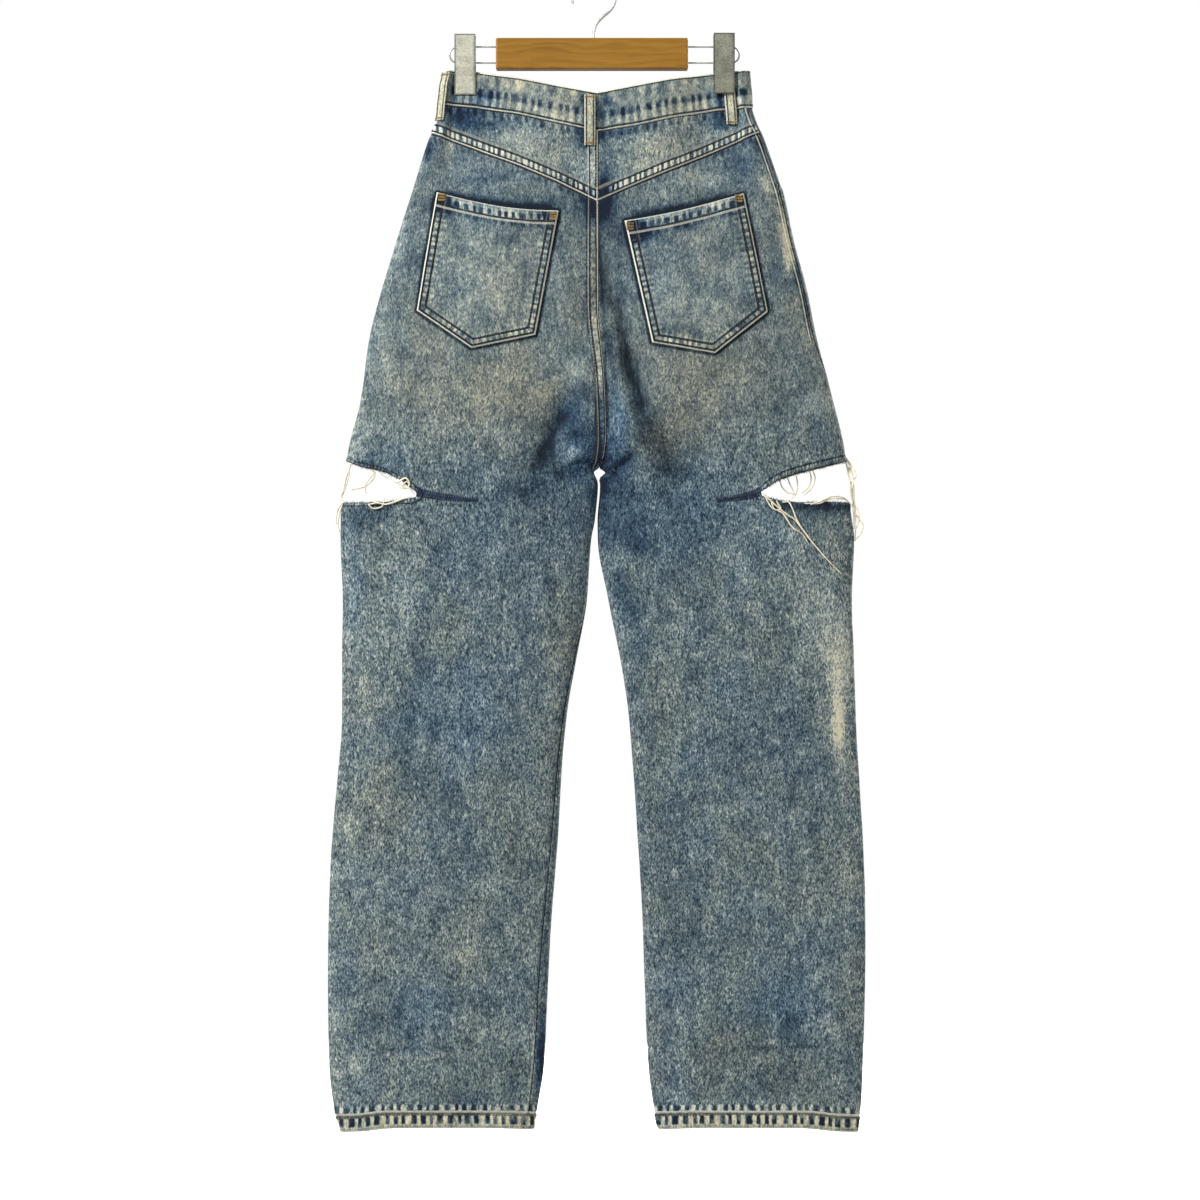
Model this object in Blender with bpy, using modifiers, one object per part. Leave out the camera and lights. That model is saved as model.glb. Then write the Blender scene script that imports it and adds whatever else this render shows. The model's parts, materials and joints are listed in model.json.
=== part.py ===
"""Ripped jeans that hang by the waistband from the clips of a wooden hanger.

The frame has its origin at the top of the hook's inside, with +Z up. The back of the jeans faces -Y
and the wearer's left leg is at -X. Garment sizes are in millimetres: x from the centre back seam's
line, and heights from the bottom of the hems. Every cloth piece is read from one form, a pair of
flattened tubes that join above the crotch, and is a wall of even thickness on it.
"""

import math
from collections import namedtuple

import bmesh
import bpy
import numpy as np
from mathutils import Matrix, Vector
from mathutils.bvhtree import BVHTree

MM = 0.001
LEFT, RIGHT = -1, 1

# Place of the garment in the frame of the hook
GARMENT_SHIFT = 3.0
HEM_Z = -1153.0

# Walls and seams
WALL = 1.2
SEAM_GAP = 0.3
WAISTBAND_WALL = 2.4
WAISTBAND_PROUD = 0.5
HEM_WALL = 2.6
HEM_PROUD = 0.6
PATCH_GAP = 0.45
LAY_SLACK = 0.25
FAR_OFF = 200.0
CROTCH_TRIM = 0.6
CROTCH_TRIM_REACH = 45.0
DART_TRIM = 1.3
DART_TRIM_REACH = 26.0
FLARE_TRIM = 0.5
FLARE_COLUMNS = 4
FLARE_LEVEL = 1000.0

# Form
ROUNDNESS = 2.2  # exponent of a section's outline, 2 for an ellipse
FRONT_FLATNESS = 0.86  # depth of the front, as a share of the back's
CROTCH = 661.0
CROTCH_CURVE = 52.0  # height over which the centre seams turn under
CENTRE_SHARE = 0.92  # depth at the centre seams, as a share of the section's

# Clips
CLIP_X = {LEFT: -131.75, RIGHT: 127.0}
CLIP_WIDTH = 21.0
PINCH_DEPTH = 2.1
PINCH_TOP = 1026.0
PINCH_END = 890.0
PINCH_FLAT = 2.0
PINCH_OUT = 6.0
PINCH_IN = 50.0

Outline = namedtuple("Outline", "height left right depth")
OUTLINE = (
    Outline(0, -257, 261, 15.0),
    Outline(19, -262, 263, 15.2),
    Outline(69, -267, 265, 15.8),
    Outline(169, -269, 267, 16.5),
    Outline(269, -266, 265, 17.5),
    Outline(349, -259, 260, 18.5),
    Outline(409, -255, 258, 19.0),
    Outline(469, -254, 257, 19.5),
    Outline(529, -254, 254, 20.0),
    Outline(589, -256, 256, 20.5),
    Outline(629, -256, 252, 21.0),
    Outline(679, -249, 247, 22.0),
    Outline(729, -236, 236, 22.5),
    Outline(789, -228, 220.5, 22.5),
    Outline(839, -214.5, 208.5, 22.0),
    Outline(889, -200, 196, 20.5),
    Outline(929, -187, 186, 18.5),
    Outline(969, -175, 173, 16.0),
    Outline(994, -166, 164, 14.5),
    Outline(1004, -161, 160, 13.5),
    Outline(1021, -154, 156, 12.5),
    Outline(1040, -151, 153.5, 12.0),
    Outline(1062, -150, 152, 12.0),
)

Inner = namedtuple("Inner", "height left right")
INNER = (  # inner edge of each leg, and above the crotch the centre seams
    Inner(0, -63, 61),
    Inner(19, -60, 57),
    Inner(69, -53, 51),
    Inner(169, -48, 47),
    Inner(269, -41, 42),
    Inner(349, -36, 37),
    Inner(409, -31, 32),
    Inner(469, -21, 23),
    Inner(529, -10, 11),
    Inner(589, -6, 1),
    Inner(610, -2, 0.6),
    Inner(644, 1, 3),
    Inner(650, 0, 2),
    Inner(656.5, -4, 8.5),
    Inner(CROTCH, 2, 2),
    Inner(669, 5.5, 5.5),
    Inner(695, 8.6, 8.6),
    Inner(750, 7, 7),
    Inner(823, 1, 1),
    Inner(1062, 1, 1),
)

Waist = namedtuple("Waist", "x top seam yoke")
WAIST = (  # heights of the waistband's two edges and of the yoke seam across the back
    Waist(-165, 1060, 1024.5, 995),
    Waist(-120, 1057, 1020.5, 978),
    Waist(-80, 1050, 1013, 962),
    Waist(-40, 1042, 1004, 945),
    Waist(0, 1035, 997, 927),
    Waist(40, 1042.5, 1002.5, 943.5),
    Waist(80, 1050, 1010.5, 959.5),
    Waist(120, 1056, 1018, 977),
    Waist(165, 1060, 1021, 999),
)
FRONT_DROP = 15.0  # how much lower the waistband hangs at the centre front
WAIST_HALF = 150.0
FOLD_FADE = 0.35  # share of a fold's length over which each end dies away

Slash = namedtuple("Slash", "side x upper lower")
SLASHES = (  # heights of the two cut edges, from the side in to the tip
    Slash(LEFT, -260, 672, 626),
    Slash(LEFT, -239, 663, 626),
    Slash(LEFT, -212, 657, 626),
    Slash(LEFT, -196, 649, 628),
    Slash(LEFT, -179, 635.5, 631.5),
    Slash(RIGHT, 260, 670, 626),
    Slash(RIGHT, 224, 661, 627),
    Slash(RIGHT, 200, 655, 626),
    Slash(RIGHT, 182, 649, 628),
    Slash(RIGHT, 163, 636.5, 632.5),
)

SeamInset = namedtuple("SeamInset", "height side_left side_right inseam_left inseam_right")
SEAM_INSETS = (  # how far onto the back the side seam and the inseam lie, from the form's edges
    SeamInset(0, 0, 0, 7, 0),
    SeamInset(60, 0, 0, 10, 0),
    SeamInset(300, 0, 0, 6, 0),
    SeamInset(470, 0, 0, 2, 0),
    SeamInset(560, 0, 0, 0, 0),
    SeamInset(740, 0, 0, 0, 0),
    SeamInset(800, 0, 4, 0, 0),
    SeamInset(1062, 0, 4, 0, 0),
)

BACK, FRONT = "back", "front"
Fold = namedtuple("Fold", "face x0 height0 x1 height1 width depth")
FOLDS = (  # soft troughs, and ridges where the depth is negative
    Fold(BACK, 26, 800, 40, 680, 17, 6.0),
    Fold(BACK, -20, 752, -56, 676, 19, 5.0),
    Fold(BACK, 66, 772, 74, 640, 26, -3.0),
    Fold(BACK, -92, 780, -104, 650, 30, -3.0),
    Fold(BACK, -180, 600, -205, 330, 28, 3.0),
    Fold(BACK, 190, 560, 176, 300, 30, 3.0),
    Fold(BACK, -100, 560, -120, 200, 34, -2.5),
    Fold(BACK, 110, 520, 132, 180, 34, -2.5),
    Fold(BACK, -250, 78, -120, 62, 16, 2.0),
    Fold(BACK, 250, 70, 110, 84, 16, 2.0),
    Fold(FRONT, 22, 820, 52, 690, 18, 5.5),
    Fold(FRONT, -24, 806, -58, 690, 18, 5.0),
    Fold(FRONT, -150, 620, -190, 420, 28, 3.0),
    Fold(FRONT, 140, 600, 186, 380, 28, 3.0),
    Fold(FRONT, -140, 400, -160, 120, 34, -2.5),
    Fold(FRONT, 150, 390, 158, 130, 34, -2.5),
    Fold(FRONT, -240, 84, -110, 70, 16, 2.0),
    Fold(FRONT, 240, 72, 120, 90, 16, 2.0),
)

Row = namedtuple("Row", "outer inner")
LEG_ROWS_ABOVE = (  # grid rows between the seat and the slash: heights at the side and the centre
    Row(825, 825),
    Row(788, 788),
    Row(754, 752),
    Row(724, 722),
    Row(703, 697),
    Row(688, 678),
    Row(679, 667),
)
LEG_ROWS_BELOW = (
    Row(603, 650),
    Row(576, 624),
    Row(540, 584),
    Row(492, 530),
    Row(436, 460),
    Row(376, 384),
    Row(312, 312),
    Row(246, 246),
    Row(182, 182),
    Row(124, 124),
    Row(82, 82),
    Row(50, 50),
)
SEAT_LEVEL = 862.0
SEAT_ROWS = 4
SLASH_INNER_UPPER = CROTCH
SLASH_INNER_LOWER = 656.5
COLUMN_STEPS = (3, 2, 1, 9)  # grid steps to the clip's edges, to the slash's tip and past it
COLUMN_COUNT = sum(COLUMN_STEPS) + 1
CLIP_LEVEL = 1045.0
CLIP_CLEAR = 0.5  # how far outside the clip's edges the grid's columns run
WAIST_LEVEL = 1010.0
YOKE_ROWS = 3
FACING_ROWS = 3

# Hems
HEM_HEIGHT = 15.5
HEM_LIFT = 3.0
HEM_STEPS = 6

# Back pockets: corners from the top inner one round to the bottom inner one
Corner = namedtuple("Corner", "x height")
POCKET_CORNERS = {
    LEFT: (Corner(-38, 919), Corner(-161, 936), Corner(-180, 818), Corner(-125, 781), Corner(-62, 794)),
    RIGHT: (Corner(28, 908), Corner(147, 936), Corner(170, 817), Corner(117, 775), Corner(56, 786)),
}
POCKET_SAG = {LEFT: 5.0, RIGHT: 1.5}

# Front pocket openings and fly
SCOOP_COLUMN = 8
SCOOP_LIP = 1.8
SCOOP_LIP_RUN = 12.0
SCOOP_DROP = 78.0
FACING_INSET = 0.8
FLY_WIDTH = 34.0
FLY_LENGTH = 150.0
FLY_TUCK = 3.0  # how far the shield starts below the waist seam
BUTTON_X = -7.0
BUTTON_RADIUS = 8.5
BUTTON_THICKNESS = 2.4
BUTTON_DROP = 19.0
BUTTON_ROUND = 0.6
SLIT_COLUMN = 3

# Belt loops
LOOP_WIDTH = 11.0
LOOP_WALL = 1.5
LOOP_BULGE = 2.2
LOOP_STATIONS = 9
LOOP_EASE = 0.3  # share of its length over which a loop leaves the cloth
LOOP_FEEL = 2.5  # how far above and below each station the cloth under it is felt for
Loop = namedtuple("Loop", "name face x_top x_foot height_top height_foot flat facing")
LOOPS = (  # flat is the share of the length that lies flat under a clip, facing the turn to the side
    Loop("belt_loop_back", BACK, -7, -7, 1032, 981, 0.0, 0),
    Loop("belt_loop_side_left", BACK, -149, -154, 1056, 1008, 0.0, 38),
    Loop("belt_loop_side_right", BACK, 131, 135, 1053, 1004, 0.45, 0),
    Loop("belt_loop_front_left", FRONT, -72, -74, 1033, 985, 0.0, 0),
    Loop("belt_loop_front_right", FRONT, 78, 80, 1034, 985, 0.0, 0),
)

# Loose threads at the slashes: how far they stand off the legs' outer edges
THREAD_DEPTH = -3.0
THREAD_RADIUS = 1.2
TAIL_RADIUS = 0.8
Thread = namedtuple("Thread", "side height off")
THREAD_ROUTE = (
    Thread(LEFT, 648, 0.0),
    Thread(LEFT, 626, 0.6),
    Thread(LEFT, 612, 3.5),
    Thread(LEFT, 598, 0.0),
    Thread(RIGHT, 648, 0.0),
    Thread(RIGHT, 626, 2.0),
    Thread(RIGHT, 609, 9.0),
    Thread(RIGHT, 588, 0.0),
)
TAIL_ROUTE = ((167, 627), (180, 618), (197, 606), (220, 582), (242, 555))

# Hanger, from the hook's axis and in frame heights
BAR_WIDTH, BAR_HEIGHT, BAR_THICKNESS = 192.0, 31.0, 14.0
BAR_X = -2.0
BAR_TOP = -63.0
BAR_ROUND = 1.6
RAIL_RADIUS = 0.9
RAIL_HEIGHTS = (-71.0, -87.0)
RAIL_ENDS = (-144.5, 145.5)
RUNNING_GAP = 0.3
HOOK_RADIUS = 1.6
HOOK_INNER = 20.0
HOOK_FROM, HOOK_TO = -50.0, 200.0  # degrees round the hook's circle
STEM_TOP = -56.0
STEM_DEPTH = 5.0
NECK_PULL = 9.0  # how straight the neck leaves the stem and meets the hook
CLIP_TOP = {LEFT: -59.0, RIGHT: -58.0}
CLIP_HEIGHT = 60.5
CLIP_PLATE = 1.1
CLIP_FLANGE = 0.9
CORE_WIDTH, CORE_HALF_DEPTH = 16.0, 4.5
CORE_TOP, CORE_BOTTOM = -66.0, -92.0
JAW_BEND = 9.0
FLANGE_REACH = 1.5
FLANGE_SINK = 0.5
FLANGE_DROP = 4.0
FLANGE_SLOPE = 5.0
FLANGE_LIFT = 1.0
BORE_PAST = 10.0
LOOP_ROOM = 0.5  # the belt loop under the right clip lies a little askew


# ---------------------------------------------------------------- the form


def column(table, name):
    """One named column of a table, as an array."""
    return np.array([getattr(row, name) for row in table], dtype=float)


def smooth(table, name, at):
    """A column read between its rows by a cubic that never overshoots them."""
    known = column(table, "height")
    values = column(table, name)
    steps = np.diff(known)
    rates = np.diff(values) / steps
    slopes = np.zeros_like(values)
    same_way = rates[:-1] * rates[1:] > 0
    safe = np.where(same_way, rates[:-1] + rates[1:], 1.0)
    slopes[1:-1] = np.where(same_way, 2 * rates[:-1] * rates[1:] / safe, 0.0)
    slopes[0], slopes[-1] = rates[0], rates[-1]
    at = np.clip(at, known[0], known[-1])
    i = np.clip(np.searchsorted(known, at, side="right") - 1, 0, len(steps) - 1)
    t = (at - known[i]) / steps[i]
    return (
        values[i] * (1 + 2 * t) * (1 - t) ** 2
        + slopes[i] * steps[i] * t * (1 - t) ** 2
        + values[i + 1] * t * t * (3 - 2 * t)
        + slopes[i + 1] * steps[i] * t * t * (t - 1)
    )


def ease(t):
    """0 to 1 with level ends."""
    t = np.clip(t, 0.0, 1.0)
    return t * t * (3 - 2 * t)


def outer_edge(side, height):
    return smooth(OUTLINE, "left" if side == LEFT else "right", height)


def inner_edge(side, height):
    return smooth(INNER, "left" if side == LEFT else "right", height)


def fold_depth(face_is_back, x, height):
    """How far the folds press the cloth in at a place."""
    total = np.zeros_like(x)
    for fold in FOLDS:
        run = np.array((fold.x1 - fold.x0, fold.height1 - fold.height0), dtype=float)
        length = math.hypot(*run)
        along = ((x - fold.x0) * run[0] + (height - fold.height0) * run[1]) / length
        across = ((x - fold.x0) * run[1] - (height - fold.height0) * run[0]) / length
        fade = ease(along / (FOLD_FADE * length)) * ease((length - along) / (FOLD_FADE * length))
        here = fold.depth * np.exp(-((across / fold.width) ** 2)) * fade
        total += np.where(face_is_back == (fold.face == BACK), here, 0.0)
    return total


def pinch(x, height):
    """1 where the clips press the two faces together, falling to 0 away from them."""
    total = np.zeros_like(x)
    for side, centre in CLIP_X.items():
        off = side * (x - centre)
        outward = 1 - ease((off - CLIP_WIDTH / 2 - PINCH_FLAT) / PINCH_OUT)
        inward = 1 - ease((-off - CLIP_WIDTH / 2 - PINCH_FLAT) / PINCH_IN)
        total = np.maximum(total, outward * inward)
    return total * ease((height - PINCH_END) / (PINCH_TOP - PINCH_END))


def surface(side, angle, height):
    """Points of the cloth's outer surface.

    The angle goes round one half of the garment: 0 at its outer edge, pi at its inner edge along the
    back, and -pi there along the front.
    """
    side, angle, height = np.broadcast_arrays(np.asarray(side), np.asarray(angle, float),
                                              np.asarray(height, float))
    outer = np.where(side == LEFT, outer_edge(LEFT, height), outer_edge(RIGHT, height))
    inner = np.where(side == LEFT, inner_edge(LEFT, height), inner_edge(RIGHT, height))
    angle = np.where(height >= CROTCH, np.clip(angle, -math.pi, math.pi), angle)
    cosine = np.cos(angle)
    reach = np.sign(cosine) * np.abs(cosine) ** (2 / ROUNDNESS)
    x = (outer + inner) / 2 + (outer - inner) / 2 * reach
    rise = np.clip((height - CROTCH) / CROTCH_CURVE, 0.0, 1.0)
    centre = CENTRE_SHARE * np.sqrt(1 - (1 - rise) ** 2)
    weight = np.where(reach < 0, 1 - centre ** ROUNDNESS, 1.0)
    bulge = np.clip(1 - weight * np.abs(reach) ** ROUNDNESS, 0.0, 1.0) ** (1 / ROUNDNESS)
    is_back = np.sin(angle) >= 0
    depth = smooth(OUTLINE, "depth", height) * np.where(is_back, 1.0, FRONT_FLATNESS) * bulge
    depth = depth - fold_depth(is_back, x, height) * bulge
    press = pinch(x, height)
    edge_room = np.minimum(1.0, depth / PINCH_DEPTH)
    depth = depth * (1 - press) + PINCH_DEPTH * edge_room * press
    y = np.where(is_back, -depth, depth)
    return np.stack((x, y, height), axis=-1)


def normal(side, angle, height):
    """Outward normals of the surface, from small steps along it."""
    side, angle, height = np.broadcast_arrays(np.asarray(side), np.asarray(angle, float),
                                              np.asarray(height, float))
    turn, lift = 0.02, 1.0
    above = height >= CROTCH
    most = np.where(above, math.pi, 2 * math.pi)
    low = np.maximum(angle - turn, -most)
    high = np.minimum(angle + turn, most)
    floor = np.where(above, np.maximum(height - lift, CROTCH), height - lift)
    along = surface(side, high, height) - surface(side, low, height)
    up = surface(side, angle, height + lift) - surface(side, angle, floor)
    out = np.cross(along, up) * -side[..., None]
    return out / np.linalg.norm(out, axis=-1, keepdims=True)


def angle_at(side, face, x, height):
    """The angle whose point lies at x on one face."""
    outer, inner = outer_edge(side, height), inner_edge(side, height)
    reach = np.clip((x - (outer + inner) / 2) / ((outer - inner) / 2), -1.0, 1.0)
    cosine = np.sign(reach) * np.abs(reach) ** (ROUNDNESS / 2)
    turn = np.arccos(cosine)
    return turn if face == BACK else -turn


def waist_line(name, face, x):
    """Height of one of the waist's seams at x."""
    line = np.interp(x, column(WAIST, "x"), column(WAIST, name))
    if face == BACK:
        return line
    return line - FRONT_DROP * np.clip(1 - (x / WAIST_HALF) ** 2, 0.0, 1.0)


def to_frame(points):
    """Garment millimetres to metres in the hook's frame."""
    return (np.asarray(points) + np.array((GARMENT_SHIFT, 0.0, HEM_Z))) * MM


# ---------------------------------------------------------------- cloth pieces


def spread(start, end, count, fine_start=0.0):
    """Values from start to end, closer together at the start where that is asked for."""
    t = np.linspace(0.0, 1.0, count + 1)
    t = t - fine_start * np.sin(math.pi * t) * (1 - t) / math.pi
    return start + (end - start) * t


def material(name, colour, roughness, metallic=0.0):
    """A Principled material of one colour."""
    made = bpy.data.materials.new(name)
    made.use_nodes = True
    shader = made.node_tree.nodes["Principled BSDF"]
    shader.inputs["Base Color"].default_value = (*colour, 1.0)
    shader.inputs["Roughness"].default_value = roughness
    shader.inputs["Metallic"].default_value = metallic
    return made


def add_object(name, mesh, collection, colour, roughness=0.85, metallic=0.0):
    """Links a mesh to a collection as a named object with its own material."""
    made = bpy.data.objects.new(name, mesh)
    mesh.materials.append(material(name, colour, roughness, metallic))
    collection.objects.link(made)
    return made


def trimmed(grid, first_row=True, last_row=True, first_column=True, last_column=True):
    """The grid with its seamed edges drawn in by half the gap between pieces.

    Where the centre seams turn under at the crotch, and below the waistband where the hips flare,
    neighbouring walls lean together, so they draw in more.
    """
    grid = grid.copy()
    half = SEAM_GAP / 2
    lean = CROTCH_TRIM * ease(1 - np.abs(grid[:, -1, 2] - CROTCH) / CROTCH_TRIM_REACH)
    flare = FLARE_TRIM * np.clip(1 - np.arange(grid.shape[1]) / FLARE_COLUMNS, 0.0, 1.0)
    flare = flare * (grid[0, :, 2] > FLARE_LEVEL)
    off = np.hypot(grid[..., 0], grid[..., 2] - CROTCH)
    dart = DART_TRIM * ease(1 - off / DART_TRIM_REACH)
    for wanted, edge, beside in (
        (first_column, (slice(None), 0), (slice(None), 1)),
        (last_column, (slice(None), -1), (slice(None), -2)),
        (first_row, (0,), (1,)),
        (last_row, (-1,), (-2,)),
    ):
        if wanted:
            way = grid[beside] - grid[edge]
            step = half
            if edge == (slice(None), -1):
                step = half + lean[:, None]
            if edge == (0,):
                step = half + flare[:, None] + dart[0][:, None]
            if edge == (-1,):
                step = half + dart[-1][:, None]
            grid[edge] = grid[edge] + step * way / np.linalg.norm(way, axis=-1, keepdims=True)
    return grid


def cloth(name, grid, out, wall, collection, colour, gone=()):
    """A cloth piece: a grid moved to its inner face's points, then given its wall outwards.

    out holds the outward normals that tell the face's outside, and gone the (row, column) of faces
    that are cut away.
    """
    rows, columns = grid.shape[:2]
    shape = bmesh.new()
    bmesh.ops.create_grid(shape, x_segments=columns - 1, y_segments=rows - 1, size=1.0)
    shape.verts.ensure_lookup_table()
    shape.faces.ensure_lookup_table()
    for vert, place in zip(shape.verts, to_frame(grid).reshape(-1, 3)):
        vert.co = place
    shape.normal_update()
    middle = Vector(out.reshape(-1, 3)[columns // 2])
    cut = [shape.faces[row * (columns - 1) + across] for row, across in gone]
    if shape.faces[columns // 2].normal.dot(middle) < 0:
        bmesh.ops.reverse_faces(shape, faces=shape.faces[:])
    bmesh.ops.delete(shape, geom=cut, context="FACES")
    mesh = bpy.data.meshes.new(name)
    shape.to_mesh(mesh)
    shape.free()
    made = add_object(name, mesh, collection, colour)
    solidify = made.modifiers.new("wall", "SOLIDIFY")
    solidify.thickness = wall * MM
    solidify.offset = 1.0
    return made


def sheet_of(name, side, angle, height, collection, colour, inward=WALL, wall=WALL, gone=(), **trims):
    """A cloth piece on the form from grids of angles and heights."""
    out = normal(side, angle, height)
    grid = surface(side, angle, height) - inward * out
    return cloth(name, trimmed(grid, **trims), out, wall, collection, colour, gone)


def search_trees(names):
    """Search trees of finished pieces, on which others are laid."""
    bpy.context.view_layer.update()
    graph = bpy.context.evaluated_depsgraph_get()
    return [BVHTree.FromObject(bpy.data.objects[name], graph) for name in names]


def laid(trees, face, x, height, gap):
    """Points of an array that stand a gap off the outermost cloth at their x and height."""
    way = 1 if face == BACK else -1
    points = np.stack((x, np.full_like(x, -way * FAR_OFF), height), axis=-1)
    for place in np.ndindex(x.shape):
        start = Vector(to_frame(points[place]))
        hits = [tree.ray_cast(start, Vector((0.0, way, 0.0)))[0] for tree in trees]
        points[place][1] = min((hit.y / MM * way for hit in hits if hit), default=0.0) * way - way * gap
    return points


def finer(values, times):
    """A grid of numbers with more rows and columns, read straight between its own."""
    for _ in range(2):
        places = np.arange(len(values))
        more = np.linspace(0, len(values) - 1, (len(values) - 1) * times + 1)
        values = np.array([np.interp(more, places, line) for line in values.T])
    return values


def laid_sheet(trees, face, x, height, gap, times=4, passes=5):
    """A grid laid on other cloth, whose flat cells too stay a gap off what lies under them."""
    way = 1 if face == BACK else -1
    grid = laid(trees, face, x, height, gap)
    ground = laid(trees, face, finer(x, times), finer(height, times), gap + LAY_SLACK)[..., 1] * way
    for _ in range(passes):
        lack = np.clip(finer(grid[..., 1] * way, times) - ground, 0.0, None)
        for row, place in np.ndindex(x.shape):
            near = lack[max(0, (row - 1) * times + 1):(row + 1) * times,
                        max(0, (place - 1) * times + 1):(place + 1) * times]
            grid[row, place, 1] -= way * near.max()
    return grid


def side_angle(side, height):
    """Where the side seam lies."""
    inset = smooth(SEAM_INSETS, "side_left" if side == LEFT else "side_right", height)
    return angle_at(side, BACK, outer_edge(side, height) - side * inset, height)


def inseam_angle(side, height):
    """Where the inseam lies, or the centre seam above the crotch."""
    inset = smooth(SEAM_INSETS, "inseam_left" if side == LEFT else "inseam_right", height)
    return angle_at(side, BACK, inner_edge(side, height) + side * inset, height)


def columns(side, face, height):
    """Angles of the grid columns that every piece of one face shares, at a height for each column.

    They run from the side seam to the centre or the inseam, with columns at the clip's edges and at
    the slash's tip, so that pieces meet along their seams point to point.
    """
    tip = tip_of(side)
    way = 1.0 if face == BACK else -1.0
    stops = [float(angle_at(side, BACK, CLIP_X[side] + side * off, CLIP_LEVEL))
             for off in (CLIP_WIDTH / 2 + CLIP_CLEAR, -CLIP_WIDTH / 2 - CLIP_CLEAR)]
    stops.append(float(angle_at(side, BACK, tip.x, (tip.upper + tip.lower) / 2)))
    first = side_angle(side, height)
    last = inseam_angle(side, height) - (0.0 if face == BACK else 2 * math.pi)
    place = np.arange(COLUMN_COUNT, dtype=float)
    known = np.cumsum((0,) + COLUMN_STEPS)
    fixed = np.interp(place, known[1:4], way * np.array(stops))
    near = first + (fixed[known[1]] - first) * np.clip(place / known[1], 0.0, 1.0)
    past = np.clip((place - known[3]) / COLUMN_STEPS[3], 0.0, 1.0)
    far = way * stops[2] + (last - way * stops[2]) * past
    return np.where(place < known[1], near, np.where(place > known[3], far, fixed))


def settled(side, face, height_at, guess):
    """Heights and angles of a grid row whose height depends on the x of its points."""
    height = np.full(COLUMN_COUNT, float(guess))
    for _ in range(12):
        x = surface(side, columns(side, face, height), height)[..., 0]
        height = height_at(x)
    return height, columns(side, face, height)


def scoop_start(side):
    """The x at which the front pocket's opening leaves the waist seam."""
    level = np.full(COLUMN_COUNT, WAIST_LEVEL)
    return surface(side, columns(side, FRONT, level), level)[SCOOP_COLUMN, 0]


def leg_top(side, face, x):
    """Upper edge of a leg panel: the yoke seam, or the waist seam with the pocket's scoop."""
    if face == BACK:
        return waist_line("yoke", BACK, x)
    seam = waist_line("seam", FRONT, x)
    start = side * scoop_start(side)
    past = np.clip((side * x - start) / (WAIST_HALF - start), 0.0, 1.0)
    lip = SCOOP_LIP * ease((side * x - start + SCOOP_LIP_RUN) / SCOOP_LIP_RUN)
    return seam - np.maximum(lip, SCOOP_DROP * np.sqrt(1 - (1 - past) ** 2))


def slash_edges(side, x):
    """Heights of the slash's upper and lower edges at x, level past its tip."""
    rows = sorted((row for row in SLASHES if row.side == side), key=lambda row: row.x)
    places = [row.x for row in rows]
    return (
        np.interp(x, places, [row.upper for row in rows]),
        np.interp(x, places, [row.lower for row in rows]),
    )


def tip_of(side):
    """The slash's tip."""
    rows = [row for row in SLASHES if row.side == side]
    return min(rows, key=lambda row: abs(row.x))


def leg_panel(side, face, collection, colour):
    """A leg panel in two parts, the hip and the leg, that part at the slash and along its dart."""
    tip_place = sum(COLUMN_STEPS[:3])
    place = np.arange(COLUMN_COUNT)
    across = place / (COLUMN_COUNT - 1)
    past = np.clip((place - tip_place) / COLUMN_STEPS[3], 0.0, 1.0)
    rows = []
    for step in range(SEAT_ROWS):
        t = step / SEAT_ROWS
        rows.append(settled(side, face, lambda x, t=t: leg_top(side, face, x) * (1 - t) + SEAT_LEVEL * t,
                            930.0))
    level = np.full(COLUMN_COUNT, SEAT_LEVEL)
    rows.append((level, columns(side, face, level)))
    for row in LEG_ROWS_ABOVE:
        height = row.outer + (row.inner - row.outer) * across ** 2
        rows.append((height, columns(side, face, height)))
    slash_row = len(rows)
    for which, inner in ((0, SLASH_INNER_UPPER), (1, SLASH_INNER_LOWER)):

        def cut_edge(x, which=which, inner=inner):
            edge = slash_edges(side, x)[which]
            return edge + (inner - edge) * past ** 1.6

        rows.append(settled(side, face, cut_edge, 633.0))
    for row in LEG_ROWS_BELOW:
        height = row.outer + (row.inner - row.outer) * across ** 1.6
        rows.append((height, columns(side, face, height)))
    foot = np.full(COLUMN_COUNT, HEM_HEIGHT)
    for _ in range(3):
        foot = hem_bottom(side, columns(side, face, foot)) + HEM_HEIGHT
    rows.append((foot, columns(side, face, foot)))
    word = "left" if side == LEFT else "right"
    sheet_of(f"{face}_hip_{word}", side, *grids(rows[:slash_row + 1]), collection, colour)
    gone = [(0, cell) for cell in range(tip_place)]
    sheet_of(f"{face}_leg_{word}", side, *grids(rows[slash_row:]), collection, colour, gone=gone)


def grids(rows):
    """Angle and height grids from (height, angle) rows."""
    return np.array([row[1] for row in rows]), np.array([row[0] for row in rows])


def hem_bottom(side, angle):
    """Height of the hem's lower edge, which lifts towards the middle of each face."""
    cosine = np.abs(np.cos(angle)) ** (2 / ROUNDNESS)
    return HEM_LIFT * (1 - cosine ** 2)


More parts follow.
